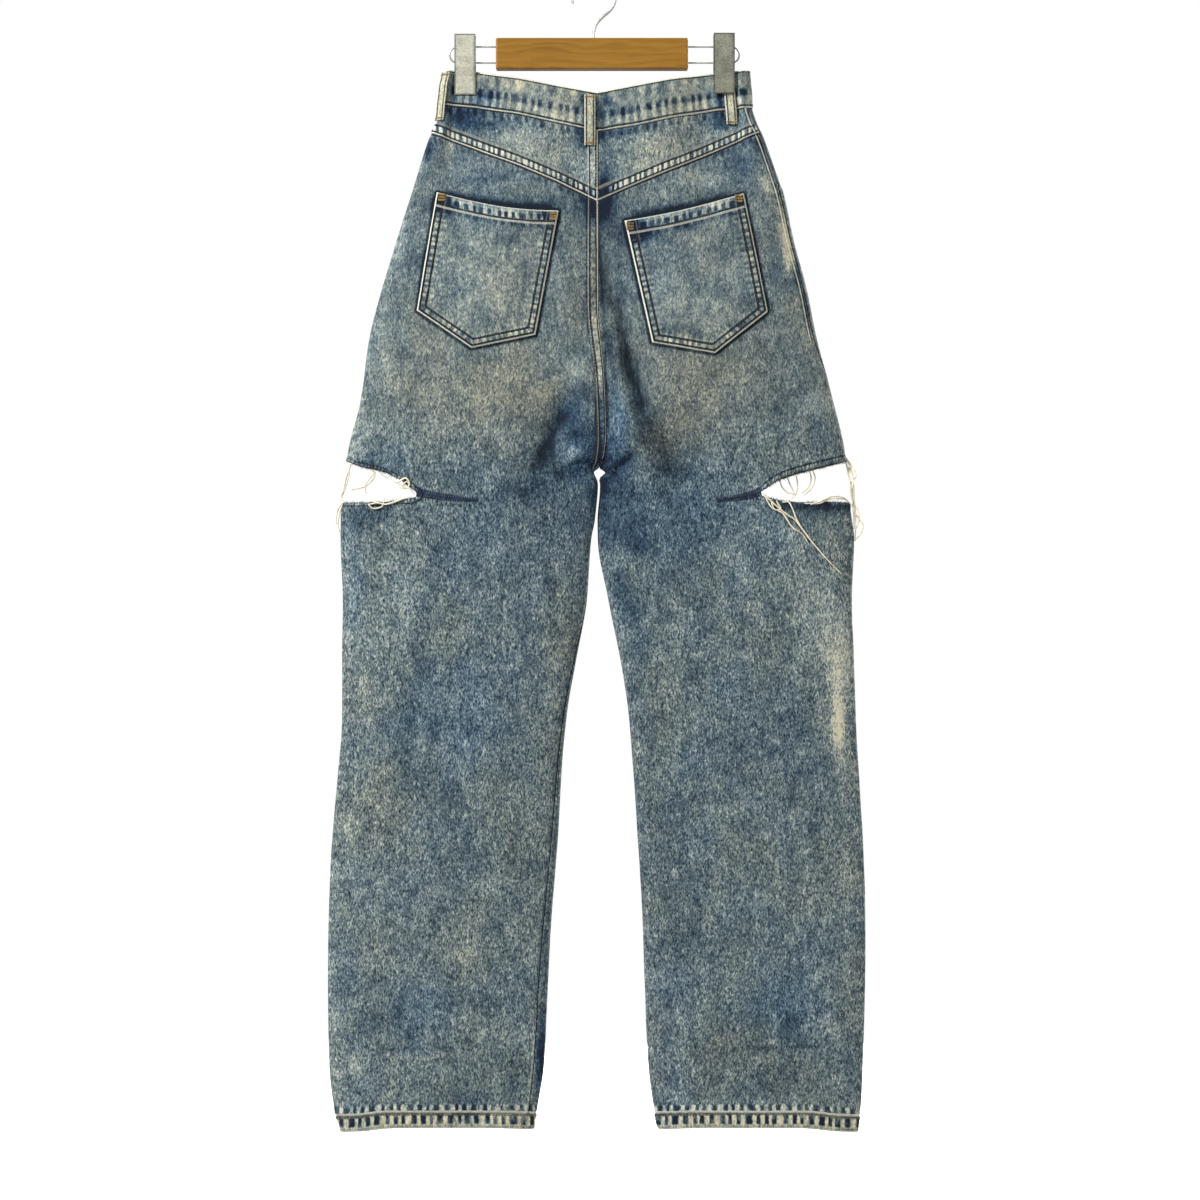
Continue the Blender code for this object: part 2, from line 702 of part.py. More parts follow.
def hem(side, collection, colour):
    """The turned hem, a ring of doubled cloth."""
    quarter = spread(0.0, math.pi / 2, HEM_STEPS, 0.5)
    back = np.concatenate((quarter, math.pi - quarter[-2::-1]))
    ring = np.concatenate((back, back[1:] + math.pi))
    bottom = hem_bottom(side, ring)
    height = np.stack((bottom + HEM_HEIGHT - SEAM_GAP / 2, bottom))
    angle = np.stack((ring, ring))
    turned = np.where(angle > math.pi, angle - 2 * math.pi, angle)
    out = normal(side, turned, height)
    grid = surface(side, turned, height) - (HEM_WALL - HEM_PROUD) * out
    name = f"hem_{'left' if side == LEFT else 'right'}"
    made = cloth(name, grid, out, HEM_WALL, collection, colour)
    shape = bmesh.new()
    shape.from_mesh(made.data)
    bmesh.ops.remove_doubles(shape, verts=shape.verts[:], dist=0.01 * MM)
    shape.to_mesh(made.data)
    shape.free()
    return made


def yoke(side, collection, colour):
    """The back yoke between the waistband and the leg panel."""
    rows = []
    for step in range(YOKE_ROWS + 1):
        t = step / YOKE_ROWS
        rows.append(settled(side, BACK, lambda x, t=t: waist_line("seam", BACK, x) * (1 - t)
                            + waist_line("yoke", BACK, x) * t, 1000.0))
    name = f"yoke_{'left' if side == LEFT else 'right'}"
    return sheet_of(name, side, *grids(rows), collection, colour)


def pocket_facing(side, collection, colour):
    """The cloth seen in the front pocket's opening, set in behind the scooped edge."""
    rows = []
    for step in range(FACING_ROWS + 1):
        t = step / FACING_ROWS
        height, angle = settled(side, FRONT, lambda x, t=t: waist_line("seam", FRONT, x) * (1 - t)
                                + leg_top(side, FRONT, x) * t, 980.0)
        rows.append((height[:SCOOP_COLUMN + 1], angle[:SCOOP_COLUMN + 1]))
    name = f"pocket_facing_{'left' if side == LEFT else 'right'}"
    return sheet_of(name, side, *grids(rows), collection, colour, inward=WALL + FACING_INSET)


def waistband(collection, colour):
    """The waistband, one strip all round with a slit at the front overlap."""
    rows = []
    for t in (0.0, 0.5, 1.0):
        height, angle = {}, {}
        for side in (LEFT, RIGHT):
            for face in (BACK, FRONT):
                height[side, face], angle[side, face] = settled(
                    side, face, lambda x, face=face, t=t: waist_line("top", face, x) * (1 - t)
                    + waist_line("seam", face, x) * t, 1030.0)
        route = (  # from the slit round the right side, across the back, round the left, to the slit
            (RIGHT, FRONT, slice(-1 - SLIT_COLUMN, 0, -1)),
            (RIGHT, BACK, slice(0, None)),
            (LEFT, BACK, slice(-2, None, -1)),
            (LEFT, FRONT, slice(1, None)),
            (RIGHT, FRONT, slice(-2, -2 - SLIT_COLUMN, -1)),
        )
        rows.append([np.concatenate([part[side, face][cells] for side, face, cells in route])
                     for part in (height, angle)])
    side = np.concatenate([np.full(COLUMN_COUNT, side)[cells] for side, face, cells in route])
    angle, height = grids(rows)
    side = np.broadcast_to(side, height.shape)
    return sheet_of("waistband", side, angle, height, collection, colour,
                    inward=WAISTBAND_WALL - WAISTBAND_PROUD, wall=WAISTBAND_WALL, first_row=False)


def back_pocket(side, collection, colour):
    """A patch pocket with a pointed foot, laid on the back leg panel."""
    top_in, top_out, foot_out, tip, foot_in = POCKET_CORNERS[side]
    split = (tip.x - foot_in.x) / (foot_out.x - foot_in.x)
    across = np.concatenate((spread(0.0, split, 3), spread(split, 1.0, 3)[1:]))
    rows = []
    for t in spread(0.0, 1.0, 6):
        top_x = top_in.x + (top_out.x - top_in.x) * across
        top = top_in.height + (top_out.height - top_in.height) * across
        top = top - POCKET_SAG[side] * np.sin(math.pi * across)
        foot_x = foot_in.x + (foot_out.x - foot_in.x) * across
        foot = np.interp(across, (0.0, split, 1.0), (foot_in.height, tip.height, foot_out.height))
        rows.append((top_x * (1 - t) + foot_x * t, top * (1 - t) + foot * t))
    x = np.array([row[0] for row in rows])
    height = np.array([row[1] for row in rows])
    word = "left" if side == LEFT else "right"
    grid = laid_sheet(search_trees((f"back_hip_{word}",)), BACK, x, height, PATCH_GAP)
    out = np.broadcast_to((0.0, -1.0, 0.0), grid.shape)
    return cloth(f"back_pocket_{word}", grid, out, WALL, collection, colour)


def fly_shield(collection, colour):
    """A strip behind the centre front that carries the closure."""
    top = float(waist_line("seam", FRONT, 0.0)) - FLY_TUCK
    height, across = np.meshgrid(np.linspace(top, top - FLY_LENGTH, 6), (0.0, 0.5, 1.0), indexing="ij")
    centre = inner_edge(LEFT, height)
    x = centre - 1.0 - FLY_WIDTH * (1 - across)
    angle = angle_at(LEFT, FRONT, x, height)
    behind = 2 * WALL + PATCH_GAP
    return sheet_of("fly_shield", LEFT, angle, height, collection, colour, inward=behind,
                    first_row=False, last_row=False, first_column=False, last_column=False)


def strap(name, centres, outs, collection, colour):
    """A flat strap of the belt loops' section along a path."""
    centres, outs = np.asarray(centres), np.asarray(outs)
    ways = np.gradient(centres, axis=0)
    across = np.cross(outs, ways)
    across /= np.linalg.norm(across, axis=-1, keepdims=True)
    grid = centres[:, None, :] + across[:, None, :] * np.array((-0.5, 0.5))[None, :, None] * LOOP_WIDTH
    return cloth(name, grid, np.repeat(outs[:, None, :], 2, axis=1), LOOP_WALL, collection, colour)


def belt_loop(loop, collection, colour):
    """A belt loop, tacked at both ends and standing off the waistband between them."""
    t = np.linspace(0.0, 1.0, LOOP_STATIONS)
    x = loop.x_top + (loop.x_foot - loop.x_top) * t
    height = loop.height_top + (loop.height_foot - loop.height_top) * t
    base = np.stack((x, np.zeros_like(x), height), axis=-1)
    turn = math.radians(loop.facing)
    way = -1 if loop.face == BACK else 1
    out = np.array((math.copysign(math.sin(turn), loop.x_top), way * math.cos(turn), 0.0))
    across = np.cross(out, (0.0, 0.0, 1.0))
    below = ("yoke",) if loop.face == BACK else ("front_hip", "pocket_facing")
    trees = search_trees(["waistband"] + [f"{name}_{word}" for name in below for word in ("left", "right")])
    rise = LOOP_BULGE * ease((t - loop.flat) / LOOP_EASE) * ease((1 - t) / LOOP_EASE)
    centres = base.copy()
    for station, place in enumerate(base):
        reach = [0.0]
        for off in np.linspace(-0.56, 0.56, 13):
            for lift in (-LOOP_FEEL, 0.0, LOOP_FEEL):
                start = place + off * LOOP_WIDTH * across + (0.0, 0.0, lift) + FAR_OFF * out
                for tree in trees:
                    hit = tree.ray_cast(Vector(to_frame(start)), Vector(-out))
                    if hit[0]:
                        reach.append(FAR_OFF - hit[3] / MM)
        centres[station] += (max(reach) + PATCH_GAP + rise[station]) * out
    return strap(loop.name, centres, np.tile(out, (LOOP_STATIONS, 1)), collection, colour)


# ---------------------------------------------------------------- tubes and hard pieces


def tube(name, points, radius, collection, colour, roughness=0.6, metallic=0.0, closed=False):
    """A round wire or thread along points in frame millimetres, as a mesh."""
    data = bpy.data.curves.new(name, "CURVE")
    data.dimensions = "3D"
    data.bevel_depth = radius * MM
    data.bevel_resolution = 2
    data.use_fill_caps = not closed
    spline = data.splines.new("POLY")
    spline.points.add(len(points) - 1)
    for point, place in zip(spline.points, points):
        point.co = (*(value * MM for value in place), 1.0)
    spline.use_cyclic_u = closed
    guide = bpy.data.objects.new(name + "_guide", data)
    bpy.context.scene.collection.objects.link(guide)
    bpy.context.view_layer.update()
    evaluated = guide.evaluated_get(bpy.context.evaluated_depsgraph_get())
    mesh = bpy.data.meshes.new_from_object(evaluated)
    bpy.data.objects.remove(guide)
    bpy.data.curves.remove(data)
    mesh.name = name
    shape = bmesh.new()
    shape.from_mesh(mesh)
    bmesh.ops.remove_doubles(shape, verts=shape.verts[:], dist=0.01 * MM)
    bmesh.ops.recalc_face_normals(shape, faces=shape.faces[:])
    shape.to_mesh(mesh)
    shape.free()
    mesh.materials.clear()
    made = add_object(name, mesh, collection, colour, roughness, metallic)
    for face in made.data.polygons:
        face.use_smooth = True
    return made


def through_points(knots, count):
    """Points of a smooth curve through a few knots."""
    knots = np.asarray(knots, dtype=float)
    ends = np.vstack((2 * knots[0] - knots[1], knots, 2 * knots[-1] - knots[-2]))
    made = []
    for place in np.linspace(0.0, len(knots) - 1.0001, count):
        i = int(place)
        t = place - i
        a, b, c, d = ends[i:i + 4]
        made.append(0.5 * (2 * b + (c - a) * t + (2 * a - 5 * b + 4 * c - d) * t * t
                           + (3 * b - 3 * c + d - a) * t ** 3))
    return np.array(made)


def frame_mm(points):
    """Garment millimetres to frame millimetres."""
    return np.asarray(points) + np.array((GARMENT_SHIFT, 0.0, HEM_Z))


def threads(collection):
    """Plain solids that reach as far as the loose threads of the slashes."""
    ivory = (0.78, 0.75, 0.66)
    for side, word in ((LEFT, "left"), (RIGHT, "right")):
        level = CROTCH
        for _ in range(5):
            level = float(slash_edges(side, outer_edge(side, level))[0])
        start = (outer_edge(side, level) - side * WALL / 2, 0.0, level - 2 * PATCH_GAP)
        knots = [start]
        for row in THREAD_ROUTE:
            if row.side == side:
                off = THREAD_RADIUS + PATCH_GAP + row.off
                knots.append((outer_edge(side, row.height) + side * off, THREAD_DEPTH, row.height))
        tube(f"threads_{word}", frame_mm(through_points(knots, 12)), THREAD_RADIUS, collection, ivory, 0.9)
    run = through_points([(x, 0.0, height) for x, height in TAIL_ROUTE], 12)
    tail = laid(search_trees(("back_leg_right",)), BACK, run[:, 0], run[:, 2], TAIL_RADIUS + PATCH_GAP)
    tube("thread_tail_right", frame_mm(tail), TAIL_RADIUS, collection, ivory, 0.9)


def box(name, low, high, collection, colour, roughness=0.5, metallic=0.0):
    """A box between two corners in frame millimetres."""
    shape = bmesh.new()
    bmesh.ops.create_cube(shape, size=1.0)
    for vert in shape.verts:
        for axis in range(3):
            vert.co[axis] = (low[axis] if vert.co[axis] < 0 else high[axis]) * MM
    mesh = bpy.data.meshes.new(name)
    shape.to_mesh(mesh)
    shape.free()
    return add_object(name, mesh, collection, colour, roughness, metallic)


def shaper(mesh, cutters):
    """An object that only shapes others."""
    made = bpy.data.objects.new(mesh.name, mesh)
    cutters.objects.link(made)
    made.hide_render = True
    made.display_type = "WIRE"
    return made


def rod_cutter(name, centre, axis, radius, length, cutters):
    """A round cutter along X, Y or Z."""
    shape = bmesh.new()
    bmesh.ops.create_cone(shape, cap_ends=True, segments=12, radius1=radius * MM, radius2=radius * MM,
                          depth=length * MM)
    turns = {"X": Matrix.Rotation(math.pi / 2, 4, "Y"), "Y": Matrix.Rotation(math.pi / 2, 4, "X"),
             "Z": Matrix.Identity(4)}
    place = Matrix.Translation(Vector(centre) * MM) @ turns[axis]
    bmesh.ops.transform(shape, matrix=place, verts=shape.verts[:])
    mesh = bpy.data.meshes.new(name)
    shape.to_mesh(mesh)
    shape.free()
    return shaper(mesh, cutters)


def cut(target, cutter):
    """Takes a cutter away from an object."""
    boolean = target.modifiers.new(cutter.name, "BOOLEAN")
    boolean.operation = "DIFFERENCE"
    boolean.object = cutter


def hanger(collection, cutters):
    """The wooden bar, its wire rail and the hook."""
    wood, steel = (0.36, 0.18, 0.045), (0.55, 0.54, 0.5)
    low = (BAR_X - BAR_WIDTH / 2, -BAR_THICKNESS / 2, BAR_TOP - BAR_HEIGHT)
    high = (BAR_X + BAR_WIDTH / 2, BAR_THICKNESS / 2, BAR_TOP)
    bar = box("hanger_bar", low, high, collection, wood, 0.4)
    bevel = bar.modifiers.new("rounded edges", "BEVEL")
    bevel.width = BAR_ROUND * MM
    bevel.segments = 2
    for number, height in enumerate(RAIL_HEIGHTS):
        cut(bar, rod_cutter(f"rail_bore_{number}", (BAR_X, 0, height), "X",
                            RAIL_RADIUS + RUNNING_GAP, BAR_WIDTH + BORE_PAST, cutters))
    cut(bar, rod_cutter("stem_bore", (0, 0, BAR_TOP), "Z", HOOK_RADIUS + RUNNING_GAP,
                        2 * (STEM_DEPTH + RUNNING_GAP), cutters))

    turn = (RAIL_HEIGHTS[0] - RAIL_HEIGHTS[1]) / 2
    middle = sum(RAIL_HEIGHTS) / 2
    rail = []
    for end, first in ((RAIL_ENDS[1] - turn, 90.0), (RAIL_ENDS[0] + turn, 270.0)):
        for angle in np.radians(np.linspace(first, first - 180.0, 9)):
            rail.append((end + turn * math.cos(angle), 0.0, middle + turn * math.sin(angle)))
    tube("hanger_rail", rail, RAIL_RADIUS, collection, steel, 0.35, 1.0, closed=True)

    ring = HOOK_INNER + HOOK_RADIUS
    centre = -HOOK_INNER
    arc = [(ring * math.cos(a), 0.0, centre + ring * math.sin(a))
           for a in np.radians(np.linspace(HOOK_FROM, HOOK_TO, 26))]
    begin = np.array(arc[0])
    way = np.array((-math.sin(math.radians(HOOK_FROM)), 0.0, math.cos(math.radians(HOOK_FROM))))
    foot = np.array((0.0, 0.0, STEM_TOP))
    controls = (foot, foot + (0.0, 0.0, NECK_PULL), begin - NECK_PULL * way, begin)
    neck = [controls[0] * (1 - t) ** 3 + 3 * controls[1] * t * (1 - t) ** 2
            + 3 * controls[2] * t * t * (1 - t) + controls[3] * t ** 3
            for t in np.linspace(0.0, 1.0, 8)]
    stem = [(0.0, 0.0, BAR_TOP - STEM_DEPTH), (0.0, 0.0, BAR_TOP)]
    tube("hanger_hook", stem + neck + arc[1:], HOOK_RADIUS, collection, steel, 0.35, 1.0)


def outlined(name, outline, x_low, x_high):
    """A mesh extruded along X from an outline in the YZ plane, in frame millimetres."""
    shape = bmesh.new()
    face = shape.faces.new([shape.verts.new((x_low * MM, y * MM, z * MM)) for y, z in outline])
    pulled = bmesh.ops.extrude_face_region(shape, geom=[face])
    moved = [part for part in pulled["geom"] if isinstance(part, bmesh.types.BMVert)]
    bmesh.ops.translate(shape, verts=moved, vec=((x_high - x_low) * MM, 0.0, 0.0))
    bmesh.ops.recalc_face_normals(shape, faces=shape.faces[:])
    mesh = bpy.data.meshes.new(name)
    shape.to_mesh(mesh)
    shape.free()
    return mesh


def jaw(name, side, face, jaw_gap, collection, cutters):
    """One plate of a clip: a bent strip with a flange along each side of its upper part."""
    way = -1 if face == BACK else 1
    centre = CLIP_X[side] + GARMENT_SHIFT
    top = CLIP_TOP[side]
    foot = top - CLIP_HEIGHT
    body = CORE_HALF_DEPTH + RUNNING_GAP
    inner = ((body, top), (body, CORE_BOTTOM), (jaw_gap, CORE_BOTTOM - JAW_BEND), (jaw_gap, foot))
    outer = tuple((y + CLIP_PLATE, z) for y, z in inner[::-1])
    half = CLIP_WIDTH / 2
    plate = outlined(name, [(way * y, z) for y, z in inner + outer], centre - half, centre + half)
    made = add_object(name, plate, collection, (0.5, 0.49, 0.43), 0.4, 1.0)
    root, begin = body + FLANGE_SINK, top - FLANGE_DROP
    side_on = [(way * y, z) for y, z in ((FLANGE_REACH, begin), (root, begin),
                                         (root, CORE_BOTTOM + FLANGE_LIFT),
                                         (FLANGE_REACH, CORE_BOTTOM + FLANGE_SLOPE))]
    for number, x in enumerate((centre - half, centre + half - CLIP_FLANGE)):
        flange = outlined(f"{name}_flange_{number}", side_on, x, x + CLIP_FLANGE)
        tool = shaper(flange, cutters)
        joined = made.modifiers.new(f"flange {number}", "BOOLEAN")
        joined.operation = "UNION"
        joined.object = tool
    return made


def clip(side, collection, cutters):
    """A clip: a core that runs on the rail, and two plates that hold the waistband."""
    word = "left" if side == LEFT else "right"
    centre = CLIP_X[side] + GARMENT_SHIFT
    core = box(f"clip_{word}_core", (centre - CORE_WIDTH / 2, -CORE_HALF_DEPTH, CORE_BOTTOM),
               (centre + CORE_WIDTH / 2, CORE_HALF_DEPTH, CORE_TOP), collection, (0.4, 0.4, 0.38), 0.4, 1.0)
    for number, height in enumerate(RAIL_HEIGHTS):
        cut(core, rod_cutter(f"{word}_core_bore_{number}", (centre, 0, height), "X",
                             RAIL_RADIUS + RUNNING_GAP, CORE_WIDTH + BORE_PAST, cutters))
    grip = PINCH_DEPTH + WAISTBAND_PROUD + RUNNING_GAP
    over_loop = grip + PATCH_GAP + LOOP_WALL + LOOP_ROOM
    jaw(f"clip_{word}_back", side, BACK, grip if side == LEFT else over_loop, collection, cutters)
    jaw(f"clip_{word}_front", side, FRONT, grip, collection, cutters)


def button(collection):
    """The waist button, seated on the front of the waistband."""
    height = float(waist_line("top", FRONT, BUTTON_X)) - BUTTON_DROP
    turns = np.radians(np.arange(0.0, 360.0, 30.0))
    seats = laid(search_trees(("waistband",)), FRONT, BUTTON_X + BUTTON_RADIUS * np.cos(turns),
                 height + BUTTON_RADIUS * np.sin(turns), PATCH_GAP)
    at = frame_mm((BUTTON_X, np.max(seats[:, 1]), height))
    shape = bmesh.new()
    bmesh.ops.create_cone(shape, cap_ends=True, segments=24, radius1=BUTTON_RADIUS * MM,
                          radius2=BUTTON_RADIUS * MM, depth=BUTTON_THICKNESS * MM)
    place = Matrix.Translation(Vector((at[0], at[1] + BUTTON_THICKNESS / 2, at[2])) * MM)
    bmesh.ops.transform(shape, matrix=place @ Matrix.Rotation(math.pi / 2, 4, "X"), verts=shape.verts[:])
    mesh = bpy.data.meshes.new("waist_button")
    shape.to_mesh(mesh)
    shape.free()
    made = add_object("waist_button", mesh, collection, (0.42, 0.36, 0.26), 0.4, 1.0)
    bevel = made.modifiers.new("rounded rim", "BEVEL")
    bevel.width = BUTTON_ROUND * MM
    bevel.segments = 1
    return made


def main():
    """Builds every piece."""
    for old in list(bpy.data.objects):
        bpy.data.objects.remove(old)
    jeans = bpy.data.collections.new("ripped_jeans")
    cutters = bpy.data.collections.new("cutters")
    for collection in (jeans, cutters):
        bpy.context.scene.collection.children.link(collection)
    denim, faded, navy = (0.15, 0.21, 0.25), (0.22, 0.28, 0.3), (0.06, 0.1, 0.16)
    for side in (LEFT, RIGHT):
        leg_panel(side, BACK, jeans, denim)
        leg_panel(side, FRONT, jeans, denim)
        yoke(side, jeans, faded)
        pocket_facing(side, jeans, navy)
        back_pocket(side, jeans, faded)
        hem(side, jeans, faded)
        clip(side, jeans, cutters)
    waistband(jeans, faded)
    fly_shield(jeans, navy)
    for loop in LOOPS:
        belt_loop(loop, jeans, (0.4, 0.42, 0.36))
    button(jeans)
    threads(jeans)
    hanger(jeans, cutters)


main()
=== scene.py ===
"""Ripped jeans on a clip hanger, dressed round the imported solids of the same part.

Garment sizes are in millimetres: x from the centre back seam's line and heights from the bottom of
the hems. The cloth is rebuilt as fine shells on the form that its solids follow, with its folds,
puckers, seams, stitches, torn edges and loose threads, and every finish is procedural.
"""

import json
import logging
import math
from dataclasses import dataclass, field
from enum import Enum, IntEnum
from typing import Callable, NamedTuple, Optional, Sequence, Union

import bmesh
import bpy
import numpy as np
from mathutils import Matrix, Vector
from mathutils.bvhtree import BVHTree

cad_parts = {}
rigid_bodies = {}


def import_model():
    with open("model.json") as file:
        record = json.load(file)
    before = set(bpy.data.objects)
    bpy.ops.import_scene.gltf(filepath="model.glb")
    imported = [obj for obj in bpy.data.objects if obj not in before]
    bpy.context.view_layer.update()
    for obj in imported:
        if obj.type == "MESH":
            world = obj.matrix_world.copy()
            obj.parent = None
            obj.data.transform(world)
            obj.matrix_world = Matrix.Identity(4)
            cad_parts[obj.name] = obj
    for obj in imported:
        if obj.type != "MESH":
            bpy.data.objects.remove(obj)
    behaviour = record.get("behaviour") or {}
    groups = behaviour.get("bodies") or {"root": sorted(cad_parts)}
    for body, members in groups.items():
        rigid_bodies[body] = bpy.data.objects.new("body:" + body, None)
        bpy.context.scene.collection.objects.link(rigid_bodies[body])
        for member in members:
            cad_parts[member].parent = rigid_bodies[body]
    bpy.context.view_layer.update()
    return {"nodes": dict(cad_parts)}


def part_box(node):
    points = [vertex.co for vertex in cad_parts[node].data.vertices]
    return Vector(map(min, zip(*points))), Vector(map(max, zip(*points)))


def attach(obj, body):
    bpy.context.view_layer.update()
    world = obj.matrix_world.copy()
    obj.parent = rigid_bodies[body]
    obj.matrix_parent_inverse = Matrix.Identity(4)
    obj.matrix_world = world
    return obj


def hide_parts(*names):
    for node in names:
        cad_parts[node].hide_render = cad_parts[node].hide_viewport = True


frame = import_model()

MM = 0.001
BODY = "root"
GARMENT_SHIFT = 3.0
HEM_Z = -1153.0
TURN = 2.0 * math.pi
WALL = 1.2
SETTLING = 9  # rounds in which a grid's heights and the x of its points agree
LOG = logging.getLogger("ripped_jeans")

Array = np.ndarray
Number = Union[float, "Value"]
Paint = tuple[float, float, float]
Material = bpy.types.Material
Piece = bpy.types.Object


class Side(IntEnum):
    """The two legs, by the sign of their x."""

    LEFT = -1
    RIGHT = 1

    @property
    def word(self) -> str:
        """The side's name in piece names."""
        return self.name.lower()


class Face(Enum):
    """The two faces of the garment. The back faces -Y."""

    BACK = "back"
    FRONT = "front"

    @property
    def way(self) -> float:
        """Sign of the face's outward Y."""
        return -1.0 if self is Face.BACK else 1.0


# ---- sizes of the form


class Outline(NamedTuple):
    """Outer edges and depth of the form at a height."""

    height: float
    left: float
    right: float
    depth: float


class Inner(NamedTuple):
    """Inner edge of each leg at a height, and above the crotch the centre seams."""

    height: float
    left: float
    right: float


class Waist(NamedTuple):
    """Heights of the waistband's two edges and of the yoke seam at an x."""

    x: float
    top: float
    seam: float
    yoke: float


class Slash(NamedTuple):
    """Heights of a slash's two cut edges at an x."""

    x: float
    upper: float
    lower: float


class SeamInset(NamedTuple):
    """How far onto the back the side seam and the inseam lie at a height."""

    height: float
    side_left: float
    side_right: float
    inseam_left: float
    inseam_right: float


class Fold(NamedTuple):
    """A soft trough from one place to another, or a ridge where its depth is negative."""

    face: Face
    x0: float
    height0: float
    x1: float
    height1: float
    width: float
    depth: float
    bow: float = 0.0


class Patch(NamedTuple):
    """A soft patch of bleach mottling, in places painted shade, with its half sizes and the tone and warmth
    it adds, in hundredths.
    """

    face: Face
    x: float
    height: float
    wide: float
    tall: float
    tone: float
    warm: float = 0.0


def table(kind: Callable, *rows: tuple) -> tuple:
    """Rows of numbers as a table of one kind of row."""
    return tuple(kind(*row) for row in rows)


def on_face(kind: Callable, face: Face, *rows: tuple) -> tuple:
    """Rows of numbers as a table of folds or patches of one face."""
    return tuple(kind(face, *row) for row in rows)


OUTLINE = table(
    Outline,
    (0, -257, 261, 15), (19, -263, 263.6, 15.2), (69, -268, 266, 15.8), (169, -269, 268.6, 16.5),
    (269, -266.4, 266.8, 17.5), (349, -260, 262.6, 18.5), (409, -255.2, 259, 19), (469, -255.2, 257, 19.5),
    (529, -254.6, 255.2, 20), (589, -256.6, 257.4, 20.5), (629, -256, 252, 21), (679, -249, 247, 22),
    (729, -236, 236, 22.5), (789, -228, 220.5, 22.5), (839, -215.6, 210.2, 22), (889, -200, 196.6, 20.5),
    (929, -187.4, 188.2, 18.5), (969, -175.4, 175.4, 16), (994, -166.4, 166.4, 14.5),
    (1004, -161.2, 161.6, 13.5), (1021, -154, 156, 12.5), (1040, -151, 153.5, 12), (1062, -150, 152, 12),
)

CROTCH = 661.0
INNER = table(
    Inner,
    (0, -63, 61), (19, -60, 57), (69, -53, 51), (169, -48, 47), (269, -41, 42), (349, -36, 37),
    (409, -31, 32), (469, -21, 23), (529, -10, 11), (589, -6, 1), (610, -2, 0.6), (644, 1, 3), (650, 0, 2),
    (656.5, -4, 8.5), (CROTCH, 2, 2), (669, 5.5, 5.5), (695, 8.6, 8.6), (750, 7, 7), (823, 1, 1),
    (1062, 1, 1),
)

WAIST = table(
    Waist,
    (-165, 1060, 1024.5, 995), (-120, 1057, 1020.5, 978), (-80, 1050, 1013, 962), (-40, 1042, 1004, 945),
    (0, 1035, 995.4, 925.4), (40, 1042.5, 1001.6, 943), (80, 1050, 1010.5, 959.5), (120, 1056, 1018, 977),
    (165, 1060, 1021, 997),
)

SLASHES = {  # from the side seam in to the tip
    Side.LEFT: table(
        Slash,
        (-260, 672, 626), (-239, 663, 626), (-212, 657, 626), (-196, 649, 628), (-179, 635.5, 631.5),
    ),
    Side.RIGHT: table(
        Slash,
        (260, 670, 626), (224, 661, 627), (200, 655, 626), (182, 649, 628), (163, 636.5, 632.5),
    ),
}

SEAM_INSETS = table(
    SeamInset,
    (0, 0, 0, 7, 0), (60, 0, 0, 10, 0), (300, 0, 0, 6, 0), (470, 0, 0, 2, 0), (560, 0, 0, 0, 0),
    (740, 0, 0, 0, 0), (800, 0, 4, 0, 0), (1062, 0, 4, 0, 0),
)

FOLDS = (
    *on_face(
        Fold, Face.BACK,
        (26, 800, 40, 680, 17, 6), (-20, 752, -56, 676, 19, 5), (66, 772, 74, 640, 26, -3),
        (-92, 780, -104, 650, 30, -3), (-180, 600, -205, 330, 28, 3), (190, 560, 176, 300, 30, 3),
        (-100, 560, -120, 200, 34, -2.5), (110, 520, 132, 180, 34, -2.5), (-250, 78, -120, 62, 16, 2),
        (250, 70, 110, 84, 16, 2),
    ),
    *on_face(
        Fold, Face.FRONT,
        (22, 820, 52, 690, 18, 5.5), (-24, 806, -58, 690, 18, 5), (-150, 620, -190, 420, 28, 3),
        (140, 600, 186, 380, 28, 3), (-140, 400, -160, 120, 34, -2.5), (150, 390, 158, 130, 34, -2.5),
        (-240, 84, -110, 70, 16, 2), (240, 72, 120, 90, 16, 2),
    ),
)

CREASES = (  # finer ones, pressed or pushed along the surface's own normals
    *on_face(
        Fold, Face.BACK,
        (2, 888, 52, 668, 6.5, 7.5, -4), (13, 800, 33, 676, 7, -2.2), (36, 744, 92, 632, 10, 3.4),
        (9, 888, 16, 796, 3, 1.6), (20, 872, 27, 786, 3, 1.4), (-20, 748, -68, 640, 8, 5),
        (-8, 774, -74, 726, 7, -2.4), (-20, 720, -48, 664, 7, -2.6), (-30, 665, 4, 657, 2.6, 4.5, -4),
        (-32, 697, -2, 678, 4.5, 3.6, -3), (2, 638, 50, 678, 4.6, 5, -5), (60, 764, 70, 660, 12, -2.2),
        (-40, 880, -30, 770, 12, -1.6), (4, 640, 10, 560, 6, 3), (-236, 83, -150, 80, 2.6, 0.9),
        (-190, 76, -95, 88, 2.2, -0.8), (-215, 66, -120, 70, 3.4, 0.7), (-120, 60, -70, 66, 3, 0.8),
        (245, 84, 160, 78, 2.6, 0.9), (205, 72, 100, 84, 2.4, -0.8), (180, 64, 85, 70, 3.2, 0.8),
        (-130, 220, -110, 60, 10, 0.8), (190, 260, 205, 70, 11, 0.8), (-236, 760, -190, 716, 7, 0.9),
        (226, 742, 176, 716, 7, 0.9), (-160, 690, -60, 668, 9, 0.7), (150, 690, 60, 668, 9, 0.7),
    ),
    *on_face(
        Fold, Face.FRONT,
        (14, 690, 50, 668, 4, 1.8), (-12, 694, -46, 672, 4, 1.8), (20, 760, 90, 728, 7, 1.4),
        (-24, 752, -96, 720, 7, 1.4), (-236, 83, -150, 80, 2.6, 0.9), (240, 80, 120, 74, 2.6, 0.9),
        (-120, 470, -60, 452, 8, 0.8), (130, 480, 66, 458, 8, 0.8),
    ),
)

